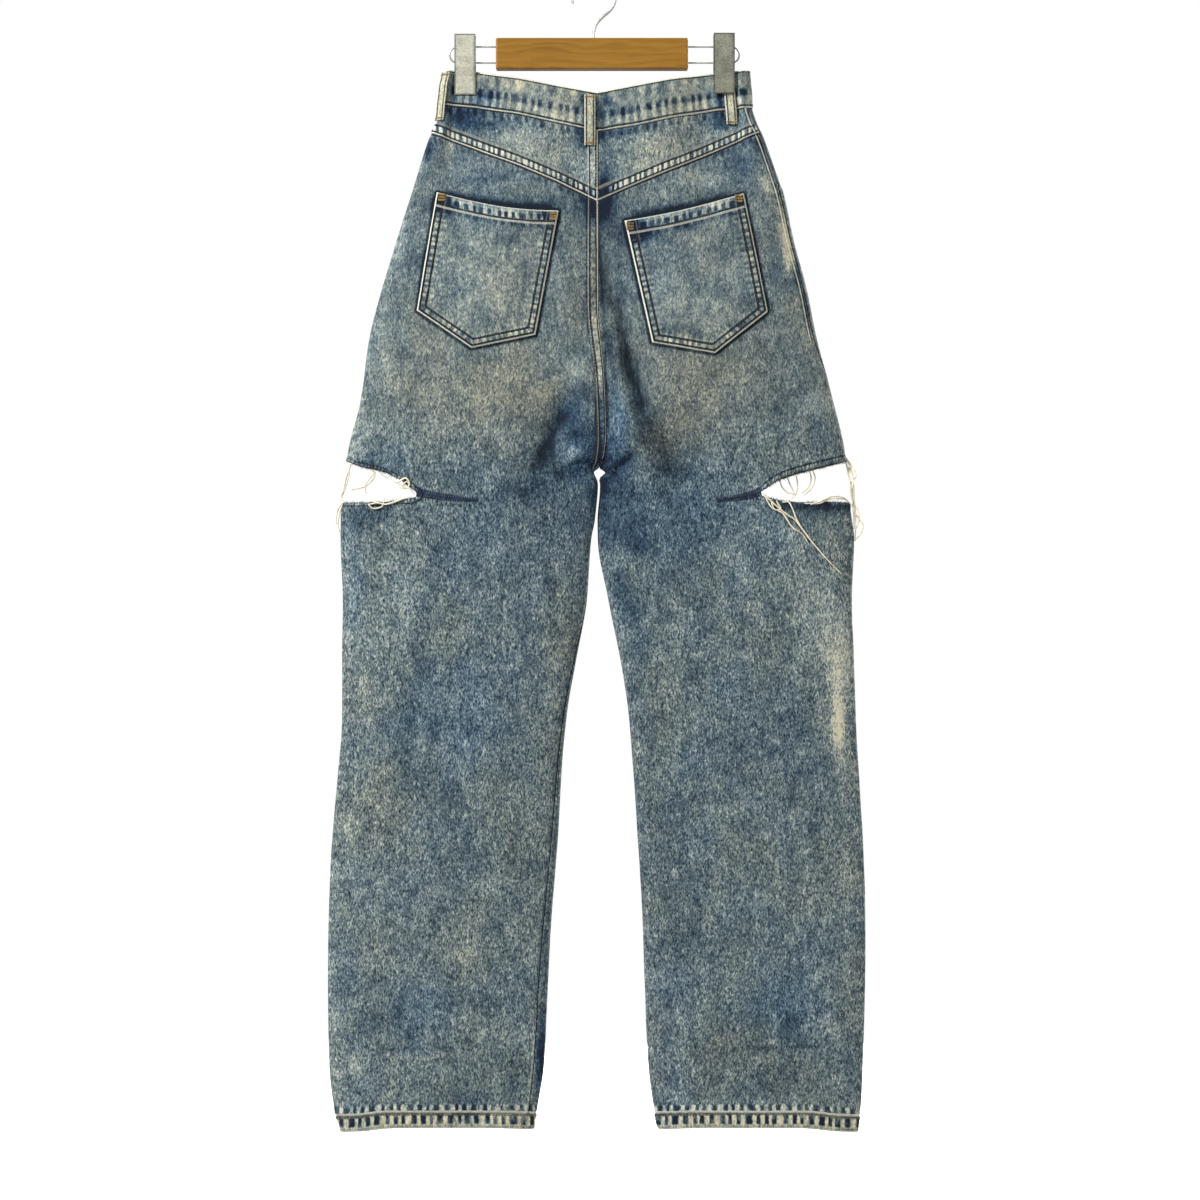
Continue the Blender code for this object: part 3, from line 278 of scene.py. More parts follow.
SHADE_AND_WEAR_STROKES = (  # long soft strokes whose depth is the tone they add: mostly painted shade in folds, beside the centre seam and above the pocket mouths, painted highlight on fold ridges, and a few navy and cream wear lines
    *on_face(
        Fold, Face.BACK,
        (-30, 726, -60, 656, 5.5, -0.24), (-2, 773, -70, 720, 6.5, 0.16), (-14, 764, -50, 702, 5, 0.14),
        (-4, 748, -36, 694, 7, -0.16), (12, 814, 19, 708, 4.6, -0.13), (2, 880, 5, 812, 3, -0.1),
        (33, 796, 32, 754, 4, 0.08), (-60, 745, -34, 758, 4, -0.16), (-68, 721, -40, 737, 4, 0.1),
        (-44, 660, -12, 679, 4.5, 0.18), (-69, 14, -58.5, 130, 1.3, 0.38), (24, 786, 46, 712, 6, -0.2),
        (46, 716, 80, 648, 11, -0.08), (34, 742, 35, 688, 1.8, 0.1), (0.5, 905, 8, 790, 2.4, -0.28),
        (6, 800, 16, 765, 3.5, -0.15), (4, 745, 3, 655, 5, -0.26), (7.5, 790, 11.5, 690, 1.4, -0.3),
        (-40, 951, -1, 924, 5, -0.2), (166, 624, 276, 621, 4.6, -0.34),
        (30, 909, 144, 936, 3.4, -0.42, 2.8), (-36, 918, -158, 937, 3.4, -0.42, -5),
        (-243, 668, -196, 652, 2.5, -0.22), (-236, 80, -100, 86, 2.2, -0.1),
        (-225, 74, -140, 71, 2, 0.1), (-150, 92, -60, 84, 2.4, -0.08), (100, 80, 235, 86, 2.2, -0.1),
        (130, 70, 215, 74, 2, 0.08),
    ),
)

# Rows of x, height, half width, half height, tone and warmth, by area.
# Besides the bleach's mottling, many rows are painted shade: in the folds of the seat, hips and crotch, and
# beside the clips and the left belt loop on the waistband.
BACK_PATCHES = (
    # the waistband, with painted shadow beside the clips and the left belt loop
    (-120, 1024, 26, 12, -26, -70), (-2, 1012, 13, 18, -20, -30), (123, 1016, 12, 12, -18, -30),
    (-136, 1003, 26, 9, -16, -40), (128, 1004, 24, 8, -12, -30), (-110, 1032, 10, 6, -25, -40),
    (-138, 1011, 13, 7, -33, -40), (-108, 1004, 26, 5, -26, -40), (11, 1024, 8, 7, -28, -30),
    (24, 1014, 7, 6, -36, -30), (122, 1027, 7, 10, -46, -50), (142, 1036, 5, 6, -14, -40),
    (-22, 1036, 11, 7, 10, 20), (-75, 1041, 12, 6, 28, 30), (98, 1046, 20, 4, 15, 20),
    (150, 1046, 6, 8, 14, 50), (-142, 1040, 6, 12, -38, -30), (86, 1009, 12, 5, 25, 20),
    (-130, 1026, 8, 5, 12), (-16, 1030, 6, 6, -12), (133, 1009, 12, 5, -12), (30, 995, 16, 5, -16, -30),
    (-15, 991, 5, 12, -42, -40), (6, 988, 5, 10, -24, -10), (85, 995, 22, 4, -9), (135, 995, 14, 4, 9),
    (125, 992, 10, 5, 13, 20), (138, 1030, 6, 10, -10), (95, 1040, 22, 8, 10), (-20, 1015, 5, 14, -10),
    (-60, 1030, 9, 6, 8), (151, 1010, 6, 14, 20, 10), (-40, 1003, 7, 16, 16), (-78, 1024, 8, 5, -10),
    (65, 1015, 10, 8, -10), (135, 1012, 10, 6, -12), (-105, 996, 28, 5, -8),
    # the yokes
    (-28, 985, 30, 9, -6), (12, 972, 12, 22, -18, -20), (-163, 966, 10, 16, 10, 10), (-144, 953, 16, 7, 7),
    (150, 964, 18, 14, -18, -30), (-58, 972, 50, 14, 12, 40), (60, 978, 40, 16, 12, 40),
    (-96, 948, 60, 8, -8, -20), (-168, 977, 6, 14, -44, -50), (112, 975, 9, 6, -17, -20),
    (150, 987, 13, 5, -14, -20), (164, 985, 5, 9, -40, -30), (-146, 987, 6, 16, 38, 40),
    (-75, 985, 20, 13, 12, 10), (49, 960, 13, 5, 29, 20), (95, 950, 10, 8, 20, 30), (28, 935, 6, 8, 23, 30),
    (168, 945, 8, 14, 22, 30), (8, 938, 6, 12, -52, -40), (3, 916, 20, 16, -38, -50),
    (-3, 921, 11, 12, -38, -60), (-2, 911, 8, 9, -14, -10), (-95, 941, 24, 4, 10, 10),
    (-66, 951, 12, 5, 16, 10), (60, 930, 14, 5, 12, 10), (110, 943, 16, 5, 10, 10), (157, 934, 6, 8, -16),
    (-10, 980, 8, 8, -18), (7, 934, 9, 10, -36, -20), (0, 914, 8, 11, -18), (-150, 923, 10, 8, -34, -20),
    (38, 898, 9, 9, -32, -20), (140, 924, 7, 8, -16, -10), (-47, 905, 6, 8, -14, -10),
    # the seat
    (14, 870, 12, 46, -14, 10), (45, 896, 16, 16, -24, -50), (84, 914, 34, 8, -16, -30),
    (-98, 920, 56, 9, -16, -30), (37, 891, 12, 10, -50, -50), (88, 900, 11, 7, -30, -20),
    (62, 886, 9, 5, -8), (147, 882, 8, 11, -17), (112, 875, 8, 8, -9), (70, 865, 8, 12, -12),
    (-158, 922, 11, 9, -34, -30), (-51, 915, 8, 12, -34, -30), (-126, 920, 13, 6, 10, 10),
    (188, 900, 6, 14, 48, 60), (193, 884, 8, 30, 30, 80), (192, 868, 6, 14, 26, 40),
    (186, 920, 8, 16, 12, 50), (195, 826, 12, 14, 10, 20), (199, 848, 6, 10, -24, -40),
    (180, 856, 10, 20, -10, -30), (-189, 869, 14, 34, -10, -20), (-196, 888, 5, 34, 15, 10),
    (-172, 862, 8, 10, -13), (-88, 865, 12, 10, -9), (-60, 855, 8, 8, -9), (168, 865, 5, 14, 12, 10),
    (172, 835, 8, 12, 9), (210, 835, 5, 24, -38), (-3, 850, 5, 60, 0, 70), (-2, 846, 3.5, 34, -20),
    (15, 848, 8, 30, 14, 10), (190, 890, 5, 28, 22, 20), (-45, 822, 15, 13, 8, 10),
    (-90, 822, 12, 12, 6, 10), (110, 845, 10, 8, 7), (95, 835, 14, 15, -14), (155, 830, 8, 10, -10),
    (100, 815, 12, 13, -7), (-20, 830, 20, 50, 0, 35),
    # the hips
    (-177, 809, 24, 24, 3, 40), (-117, 744, 85, 60, 7, 75), (110, 744, 70, 60, 5, 75),
    (-213, 775, 12, 60, 10, 10), (70, 795, 8, 7, -22), (100, 791, 10, 7, -20), (142, 802, 12, 6, -22),
    (172, 798, 9, 14, -9), (172, 740, 10, 12, -10), (45, 765, 7, 14, -10), (60, 712, 20, 12, -16, 10),
    (50, 688, 10, 18, -14, 10), (84, 660, 26, 10, -16), (185, 685, 16, 6, -9), (-105, 790, 18, 9, -11),
    (-70, 775, 10, 8, 10, 10), (-60, 768, 12, 12, 6), (-162, 785, 10, 14, 10, 10), (-150, 715, 12, 24, 9),
    (200, 665, 20, 5, 11), (80, 755, 12, 6, 11, 10), (1, 770, 5, 36, 5, 60), (62, 690, 18, 24, 0, 50),
    (208, 792, 9, 15, 18), (220, 726, 14, 18, 13), (135, 797, 14, 6, -12), (85, 801, 20, 11, -7),
    (112, 768, 10, 14, 6),
    # the crotch, much of its darkness painted shade of its folds
    (-6, 676, 36, 30, -22, -90), (20, 712, 15, 46, 2, -80), (-26, 716, 14, 26, -8, -80),
    (14, 606, 26, 34, -14, -50), (-50, 650, 40, 20, -8, -20), (40, 690, 60, 16, -2, 30),
    (-26, 676, 10, 9, 28, -60), (24, 685, 12, 10, 10, -20), (-20, 692, 7, 4, -10, -30),
    (24, 716, 10, 22, 2, -40), (24, 668, 16, 5, -12, -20), (3, 690, 4.5, 34, -20, -60),
    (5, 640, 6, 13, -42, -40), (85, 655, 16, 9, -8, -10), (20, 650, 14, 10, -10, -10),
    (50, 630, 46, 22, -11, -10), (60, 620, 60, 40, -4, -20), (55, 620, 12, 13, 13),
    (-70, 638, 34, 11, -23, -20), (-85, 640, 13, 11, 10), (-155, 645, 14, 8, -13), (-40, 655, 14, 8, -14),
    (-46, 656, 7, 9, 10), (-25, 642, 12, 18, 8), (-110, 629, 22, 8, -10), (-46, 674, 6, 12, -20),
    (-66, 692, 9, 12, -9), (97, 664, 20, 9, 8), (-28, 735, 7, 12, -10), (38, 712, 6, 12, -8),
    # the thighs
    (-97, 586, 90, 60, -5, -30), (104, 586, 60, 50, -6, -30), (-225, 614, 30, 12, -18, -30),
    (232, 616, 30, 11, -11, -10), (225, 605, 22, 6, 12), (-225, 668, 24, 10, -10, -30),
    (-192, 530, 16, 80, 8), (-240, 530, 10, 60, 6, -30), (160, 550, 26, 70, 5), (236, 470, 9, 60, 22, 30),
    (226, 520, 10, 30, 12, 10), (40, 584, 11, 11, -26, -10), (22, 540, 9, 18, -26, -25),
    (32, 518, 9, 13, -22, -20), (105, 525, 14, 17, -10), (65, 490, 15, 10, -11), (96, 460, 16, 13, -14),
    (38, 437, 8, 10, -13), (241, 405, 6, 30, 66, 80), (236, 440, 8, 28, 10, 10), (225, 480, 17, 17, 15, 20),
    (242, 456, 8, 16, 10, 20), (192, 588, 8, 17, 17, 10), (203, 556, 6, 16, 10, 10), (236, 580, 15, 40, 7),
    (127, 572, 9, 22, 16), (-195, 640, 30, 6, 5), (210, 526, 14, 50, 14, 10), (75, 585, 10, 10, -10),
    (165, 550, 7, 34, -7), (60, 545, 14, 18, -7), (40, 470, 13, 80, -8), (-100, 590, 8, 28, 7),
    (-205, 560, 36, 13, 5), (-245, 590, 12, 22, -10), (-160, 525, 14, 30, -6), (-195, 525, 15, 11, 11, 10),
    (-130, 530, 10, 13, 6), (-222, 575, 13, 15, -9), (-190, 575, 9, 14, -6), (248, 480, 9, 34, 22, 20),
    # the left leg
    (-120, 420, 70, 50, -4, -40), (-213, 341, 26, 50, 2, 50), (-90, 360, 26, 60, 4, 10),
    (-177, 125, 40, 34, -5, -70), (-222, 125, 20, 40, -5, 30), (-129, 26, 12, 12, -16, -20),
    (-150, 190, 60, 60, 2, 10), (-195, 380, 12, 30, -13), (-178, 470, 9, 30, -11), (-195, 430, 14, 38, -6),
    (-175, 345, 20, 10, -10), (-140, 275, 14, 10, -12), (-160, 225, 12, 10, -7), (-110, 130, 30, 13, -11),
    (-185, 130, 12, 9, -7), (-95, 70, 12, 13, -8), (-56, 69, 4, 25, -60, -150), (-128, 14, 12, 7, -13, -20),
    (-80, 405, 22, 8, -6), (-228, 430, 13, 34, 14, 10), (-215, 482, 10, 20, 9), (-120, 433, 22, 10, 15, 10),
    (-45, 465, 13, 10, 11), (-247, 303, 11, 26, 16), (-135, 175, 17, 11, 14, 10), (-200, 165, 14, 20, 8),
    (-85, 235, 10, 18, 7), (-245, 70, 13, 12, 14, 10), (-180, 68, 14, 8, 6), (-115, 85, 10, 10, 12),
    (-70, 110, 8, 30, 7), (-90, 17, 16, 11, 17, 10), (-215, 35, 16, 9, 6), (-150, 328, 24, 8, -7),
    (-140, 320, 12, 30, -6), (-158, 170, 13, 13, -10), (-220, 110, 24, 9, -6), (-235, 15, 14, 10, -10),
    (-125, 35, 40, 14, -5), (-45, 380, 8, 55, 6), (-190, 335, 9, 11, 8), (-175, 305, 8, 8, 7),
    (-60, 180, 7, 38, 9), (-135, 110, 28, 15, 8), (-85, 90, 18, 18, 6), (-185, 15, 28, 8, 8),
    (-240, 215, 12, 20, 6), (-70, 32, 12, 14, 8), (-235, 55, 22, 26, 4),
    # the right leg
    (90, 470, 50, 50, 3, 10), (57, 323, 14, 30, -12, 20), (87, 245, 40, 40, -6, 10),
    (190, 400, 40, 70, -4, -20), (183, 125, 34, 40, -5, -70), (130, 70, 60, 40, -2, 30),
    (125, 385, 30, 13, -9), (100, 405, 14, 12, -7), (75, 330, 20, 20, -8), (125, 335, 14, 10, -7),
    (200, 325, 10, 10, -7), (85, 190, 24, 14, -13), (90, 245, 14, 12, -9), (170, 185, 12, 10, -7),
    (75, 130, 14, 14, -9), (110, 98, 14, 9, -11), (180, 130, 10, 18, -11), (205, 100, 12, 12, -7),
    (180, 60, 30, 20, -7), (165, 330, 8, 14, 8), (230, 240, 12, 20, 8), (250, 190, 8, 30, 8),
    (245, 50, 10, 14, 12), (110, 25, 18, 10, 8), (185, 30, 14, 8, 8), (130, 275, 14, 10, 5),
    (248, 330, 6, 110, 9, 10), (225, 150, 25, 30, 5), (210, 30, 20, 12, 5), (110, 440, 16, 18, -6),
    (165, 350, 14, 12, -6), (56, 22, 8, 14, -10), (160, 50, 20, 14, -6), (120, 200, 20, 10, -5),
    (250, 250, 9, 60, 5), (210, 42, 13, 20, -7),
)

FRONT_PATCHES = (
    (-120, 800, 70, 110, 13, 50), (120, 800, 70, 110, 13, 50), (0, 672, 50, 40, -18, -20),
    (-30, 960, 24, 50, -8, -20), (-140, 540, 70, 70, 8, 20), (140, 540, 70, 70, 7, 20),
    (-130, 380, 50, 60, 8, 30), (130, 380, 50, 60, 9, 30), (-160, 150, 80, 90, -4, -20),
    (150, 150, 80, 90, -3, -10), (-55, 66, 5, 34, -42, -120),
)

PATCHES = on_face(Patch, Face.BACK, *BACK_PATCHES) + on_face(Patch, Face.FRONT, *FRONT_PATCHES)


class Corner(NamedTuple):
    """A corner of a back pocket."""

    x: float
    height: float


def column(rows: Sequence[NamedTuple], name: str) -> Array:
    """One named column of a table."""
    return np.array([getattr(row, name) for row in rows], dtype=float)


def smooth(rows: Sequence[NamedTuple], name: str, at: Array) -> Array:
    """A column read between its rows by a cubic that never overshoots them.

    Args:
        rows: rows with a height, in rising order.
        name: the column to read.
        at: heights to read it at.

    Returns:
        The column's values there.
    """
    known, values = column(rows, "height"), column(rows, name)
    steps = np.diff(known)
    rates = np.diff(values) / steps
    slopes = np.zeros_like(values)
    same_way = rates[:-1] * rates[1:] > 0
    safe = np.where(same_way, rates[:-1] + rates[1:], 1.0)
    slopes[1:-1] = np.where(same_way, 2 * rates[:-1] * rates[1:] / safe, 0.0)
    slopes[0], slopes[-1] = rates[0], rates[-1]
    at = np.clip(at, known[0], known[-1])
    i = np.clip(np.searchsorted(known, at, side="right") - 1, 0, len(steps) - 1)
    t = (at - known[i]) / steps[i]
    return (
        values[i] * (1 + 2 * t) * (1 - t) ** 2
        + slopes[i] * steps[i] * t * (1 - t) ** 2
        + values[i + 1] * t * t * (3 - 2 * t)
        + slopes[i + 1] * steps[i] * t * t * (t - 1)
    )


def ease(t: Array) -> Array:
    """0 to 1 with level ends."""
    t = np.clip(t, 0.0, 1.0)
    return t * t * (3 - 2 * t)


def unit(vectors: Array) -> Array:
    """Vectors made one long."""
    return vectors / np.maximum(np.linalg.norm(vectors, axis=-1, keepdims=True), 1e-9)


def signed_power(value: Array, power: float) -> Array:
    """A power of a number's size, with the number's sign."""
    return np.sign(value) * np.abs(value) ** power


def to_frame(points: Array) -> Array:
    """Garment millimetres to metres in the hook's frame."""
    return (np.asarray(points, dtype=float) + np.array((GARMENT_SHIFT, 0.0, HEM_Z))) * MM


def trough(fold: Fold, x: Array, height: Array, fade: float) -> Array:
    """Depth of one fold at places on its face.

    Args:
        fold: the fold.
        x: x of the places.
        height: their heights.
        fade: share of the fold's length over which each end dies away.

    Returns:
        How deep the fold is there, in millimetres.
    """
    run_x, run_up = fold.x1 - fold.x0, fold.height1 - fold.height0
    length = math.hypot(run_x, run_up)
    along = ((x - fold.x0) * run_x + (height - fold.height0) * run_up) / length
    across = ((x - fold.x0) * run_up - (height - fold.height0) * run_x) / length
    across = across - fold.bow * 4 * (along / length) * (1 - along / length)
    ends = ease(along / (fade * length)) * ease((length - along) / (fade * length))
    return fold.depth * np.exp(-((across / fold.width) ** 2)) * ends


def rope_wave(along: "Array | Value", pitch: float, sine: Callable = np.sin) -> "Array | Value":
    """The uneven wave of a puckered seam, for points and for shaders alike.

    Args:
        along: distance along the seam in millimetres.
        pitch: mean length of a pucker.
        sine: the sine function of the given kind of number.

    Returns:
        -1 to 1.
    """
    drift = sine(along * (TURN / (3.7 * pitch))) * 0.14 + sine(along * (TURN / (1.63 * pitch)) + 1.3) * 0.06
    return sine((along * (1.0 / pitch) + drift) * TURN)


class Ripple:
    """Smooth seeded unevenness over a plane."""

    SIZE = 64

    def __init__(self, seed: int) -> None:
        """Draws the lattice from a seed."""
        self.lattice = np.random.default_rng(seed).uniform(-1.0, 1.0, (self.SIZE, self.SIZE))

    def at(self, u: Array, v: Array) -> Array:
        """The lattice read smoothly between its points.

        Args:
            u: places along the first axis, in lattice steps.
            v: places along the second axis.

        Returns:
            Values between -1 and 1.
        """
        u, v = np.broadcast_arrays(np.asarray(u, float), np.asarray(v, float))
        i, j = np.floor(u).astype(int), np.floor(v).astype(int)
        s, t = ease(u - i), ease(v - j)
        i, j = i % self.SIZE, j % self.SIZE
        after, above = (i + 1) % self.SIZE, (j + 1) % self.SIZE
        low = self.lattice[i, j] * (1 - s) + self.lattice[after, j] * s
        high = self.lattice[i, above] * (1 - s) + self.lattice[after, above] * s
        return low * (1 - t) + high * t


@dataclass(frozen=True)
class Form:
    """The outer surface of the hanging cloth: two flattened tubes that join above the crotch."""

    roundness: float = 2.2
    front_flatness: float = 0.86
    crotch_curve: float = 52.0
    centre_share: float = 0.92
    fold_fade: float = 0.35
    clip_left: float = -131.75
    clip_right: float = 127.0
    clip_width: float = 21.0
    pinch_depth: float = 2.1
    pinch_top: float = 1026.0
    pinch_end: float = 890.0
    pinch_flat: float = 2.0
    pinch_out: float = 6.0
    pinch_spread: float = 40.0
    pinch_in: float = 50.0
    front_drop: float = 15.0
    waist_half: float = 150.0
    hem_arch: float = 3.2
    hem_drop: float = 2.8
    ripple: Ripple = field(default_factory=lambda: Ripple(11))

    def outer(self, side: Side, height: Array) -> Array:
        """x of a leg's outer edge."""
        return smooth(OUTLINE, side.word, height)

    def inner(self, side: Side, height: Array) -> Array:
        """x of a leg's inner edge."""
        return smooth(INNER, side.word, height)

    def press(self, x: Array, height: Array) -> Array:
        """How far the clips press the two faces together.

        Args:
            x: x of the places.
            height: their heights.

        Returns:
            1 between a clip's plates, falling to 0 away from them.
        """
        total = np.zeros_like(x)
        grip = ease((height - self.pinch_end) / (self.pinch_top - self.pinch_end))
        spread = self.pinch_out + self.pinch_spread * (1 - grip)
        for side, centre in ((Side.LEFT, self.clip_left), (Side.RIGHT, self.clip_right)):
            off = side * (x - centre)
            outward = 1 - ease((off - self.clip_width / 2 - self.pinch_flat) / spread)
            inward = 1 - ease((-off - self.clip_width / 2 - self.pinch_flat) / self.pinch_in)
            total = np.maximum(total, outward * inward)
        return total * grip

    def surface(self, side: Side, angle: Array, height: Array) -> Array:
        """Points of the plain form.

        Args:
            side: which leg's tube.
            angle: 0 at the outer edge, pi at the inner edge along the back, -pi along the front.
            height: heights of the points.

        Returns:
            Points in garment millimetres, on a last axis of three.
        """
        angle, height = np.broadcast_arrays(np.asarray(angle, float), np.asarray(height, float))
        outer, inner = self.outer(side, height), self.inner(side, height)
        angle = np.where(height >= CROTCH, np.clip(angle, -math.pi, math.pi), angle)
        reach = signed_power(np.cos(angle), 2 / self.roundness)
        x = (outer + inner) / 2 + (outer - inner) / 2 * reach
        rise = np.clip((height - CROTCH) / self.crotch_curve, 0.0, 1.0)
        centre = self.centre_share * np.sqrt(1 - (1 - rise) ** 2)
        weight = np.where(reach < 0, 1 - centre ** self.roundness, 1.0)
        bulge = np.clip(1 - weight * np.abs(reach) ** self.roundness, 0.0, 1.0) ** (1 / self.roundness)
        is_back = np.sin(angle) >= 0
        depth = smooth(OUTLINE, "depth", height) * np.where(is_back, 1.0, self.front_flatness) * bulge
        for fold in FOLDS:
            here = is_back == (fold.face is Face.BACK)
            depth = depth - trough(fold, x, height, self.fold_fade) * here * bulge
        press = self.press(x, height)
        edge_room = np.minimum(1.0, depth / self.pinch_depth)
        depth = depth * (1 - press) + self.pinch_depth * edge_room * press
        return np.stack((x, np.where(is_back, -depth, depth), height), axis=-1)

    def relief(self, face: Face, x: Array, height: Array) -> Array:
        """How far the cloth stands off the plain form: fine creases and an uneven hang.

        Args:
            face: the face of the places.
            x: their x.
            height: their heights.

        Returns:
            Millimetres along the outward normals.
        """
        total = 0.55 * self.ripple.at(x / 46 + 31, height / 74)
        total = total + 0.22 * self.ripple.at(x / 19, height / 27 + 9)
        for crease in CREASES:
            if crease.face is face:
                total = total - trough(crease, x, height, self.fold_fade)
        return total * (1 - self.press(x, height))

    def angle_at(self, side: Side, face: Face, x: Array, height: Array) -> Array:
        """The angle whose point lies at x on one face."""
        outer, inner = self.outer(side, height), self.inner(side, height)
        reach = np.clip((x - (outer + inner) / 2) / ((outer - inner) / 2), -1.0, 1.0)
        return -face.way * np.arccos(signed_power(reach, self.roundness / 2))

    def normal(self, side: Side, angle: Array, height: Array) -> Array:
        """Outward unit normals of the plain form, from neighbouring points of its surface."""
        turn, lift = 0.02, 1.0
        above = height >= CROTCH
        most = np.where(above, math.pi, TURN)
        low, high = np.maximum(angle - turn, -most), np.minimum(angle + turn, most)
        floor = np.where(above, np.maximum(height - lift, CROTCH), height - lift)
        along = self.surface(side, high, height) - self.surface(side, low, height)
        up = self.surface(side, angle, height + lift) - self.surface(side, angle, floor)
        return unit(np.cross(along, up) * -float(side))

    def dressed(self, side: Side, face: Face, x: Array, height: Array, off: Array) -> tuple[Array, Array]:
        """Places on the creased cloth of one face.

        Args:
            side: which leg's tube.
            face: the face.
            x: x of the places.
            height: their heights.
            off: how far they stand off the cloth.

        Returns:
            The points and the outward normals there.
        """
        x, height = np.broadcast_arrays(np.asarray(x, float), np.asarray(height, float))
        angle = self.angle_at(side, face, x, height)
        out = self.normal(side, angle, height)
        lift = np.asarray(self.relief(face, x, height) + off)[..., None]
        return self.surface(side, angle, height) + out * lift, out

    def hem_rise(self, angle: Array) -> Array:
        """How far above the level the hem's foot hangs: arched, and lower at the outer edge."""
        reach = signed_power(np.cos(angle), 2 / self.roundness)
        return self.hem_arch * (1 - reach ** 4) - self.hem_drop * ease((reach - 0.45) / 0.35)

    def waist_line(self, name: str, face: Face, x: Array) -> Array:
        """Height of one of the waist's seams at x."""
        line = np.interp(x, column(WAIST, "x"), column(WAIST, name))
        if face is Face.BACK:
            return line
        return line - self.front_drop * np.clip(1 - (np.asarray(x) / self.waist_half) ** 2, 0.0, 1.0)

    def seam_angle(self, side: Side, at_side: bool, height: Array) -> Array:
        """Where the side seam lies, or the inseam and the centre seam above it."""
        seam, edge, way = ("side", self.outer, -side) if at_side else ("inseam", self.inner, side)
        inset = smooth(SEAM_INSETS, f"{seam}_{side.word}", height)
        return self.angle_at(side, Face.BACK, edge(side, height) + way * inset, height)

    def across(self, side: Side, face: Face, height: Array) -> tuple[Array, Array]:
        """Angles of the side seam and of the centre seam or the inseam, the way round one face."""
        turn = 0.0 if face is Face.BACK else TURN
        return self.seam_angle(side, True, height), self.seam_angle(side, False, height) - turn

    def slash_edges(self, side: Side, x: Array) -> tuple[Array, Array]:
        """Heights of the slash's upper and lower edges at x, level past its tip."""
        rows = sorted(SLASHES[side])
        return tuple(np.interp(x, column(rows, "x"), column(rows, name)) for name in ("upper", "lower"))

    def tip(self, side: Side) -> Corner:
        """The slash's tip, level with the middle between its edges."""
        last = SLASHES[side][-1]
        return Corner(last.x, (last.upper + last.lower) / 2)


FORM = Form()


# ---- shaders


def maths(operation: str) -> Callable:
    """A method that adds a Math node on a value and others."""

    def method(self: "Value", *others: Number) -> "Value":
        """The node's result."""
        return self.graph.maths(operation, self, *others)

    return method


class Value:
    """A shader's number or vector, with Python's operators for its maths."""

    __add__ = __radd__ = maths("ADD")
    __sub__ = maths("SUBTRACT")
    __mul__ = __rmul__ = maths("MULTIPLY")
    sine = maths("SINE")
    size = maths("ABSOLUTE")
    least = maths("MINIMUM")
    most = maths("MAXIMUM")

    def __init__(self, graph: "Graph", socket: bpy.types.NodeSocket) -> None:
        """Wraps an output socket of a graph."""
        self.graph = graph
        self.socket = socket

    def __rsub__(self, other: Number) -> "Value":
        """A number less this value."""
        return self.graph.maths("SUBTRACT", other, self)

    def __neg__(self) -> "Value":
        """Negative."""
        return self * -1.0

    def between(self, low: float, high: float) -> "Value":
        """0 below low, 1 above high and a soft step between them."""
        settings = {"interpolation_type": "SMOOTHSTEP"}
        return self.graph.node("ShaderNodeMapRange", settings, {0: self, 1: low, 2: high})

    def part(self, axis: str) -> "Value":
        """One component of a vector."""
        return self.graph.node("ShaderNodeSeparateXYZ", {}, {0: self}, output=axis)


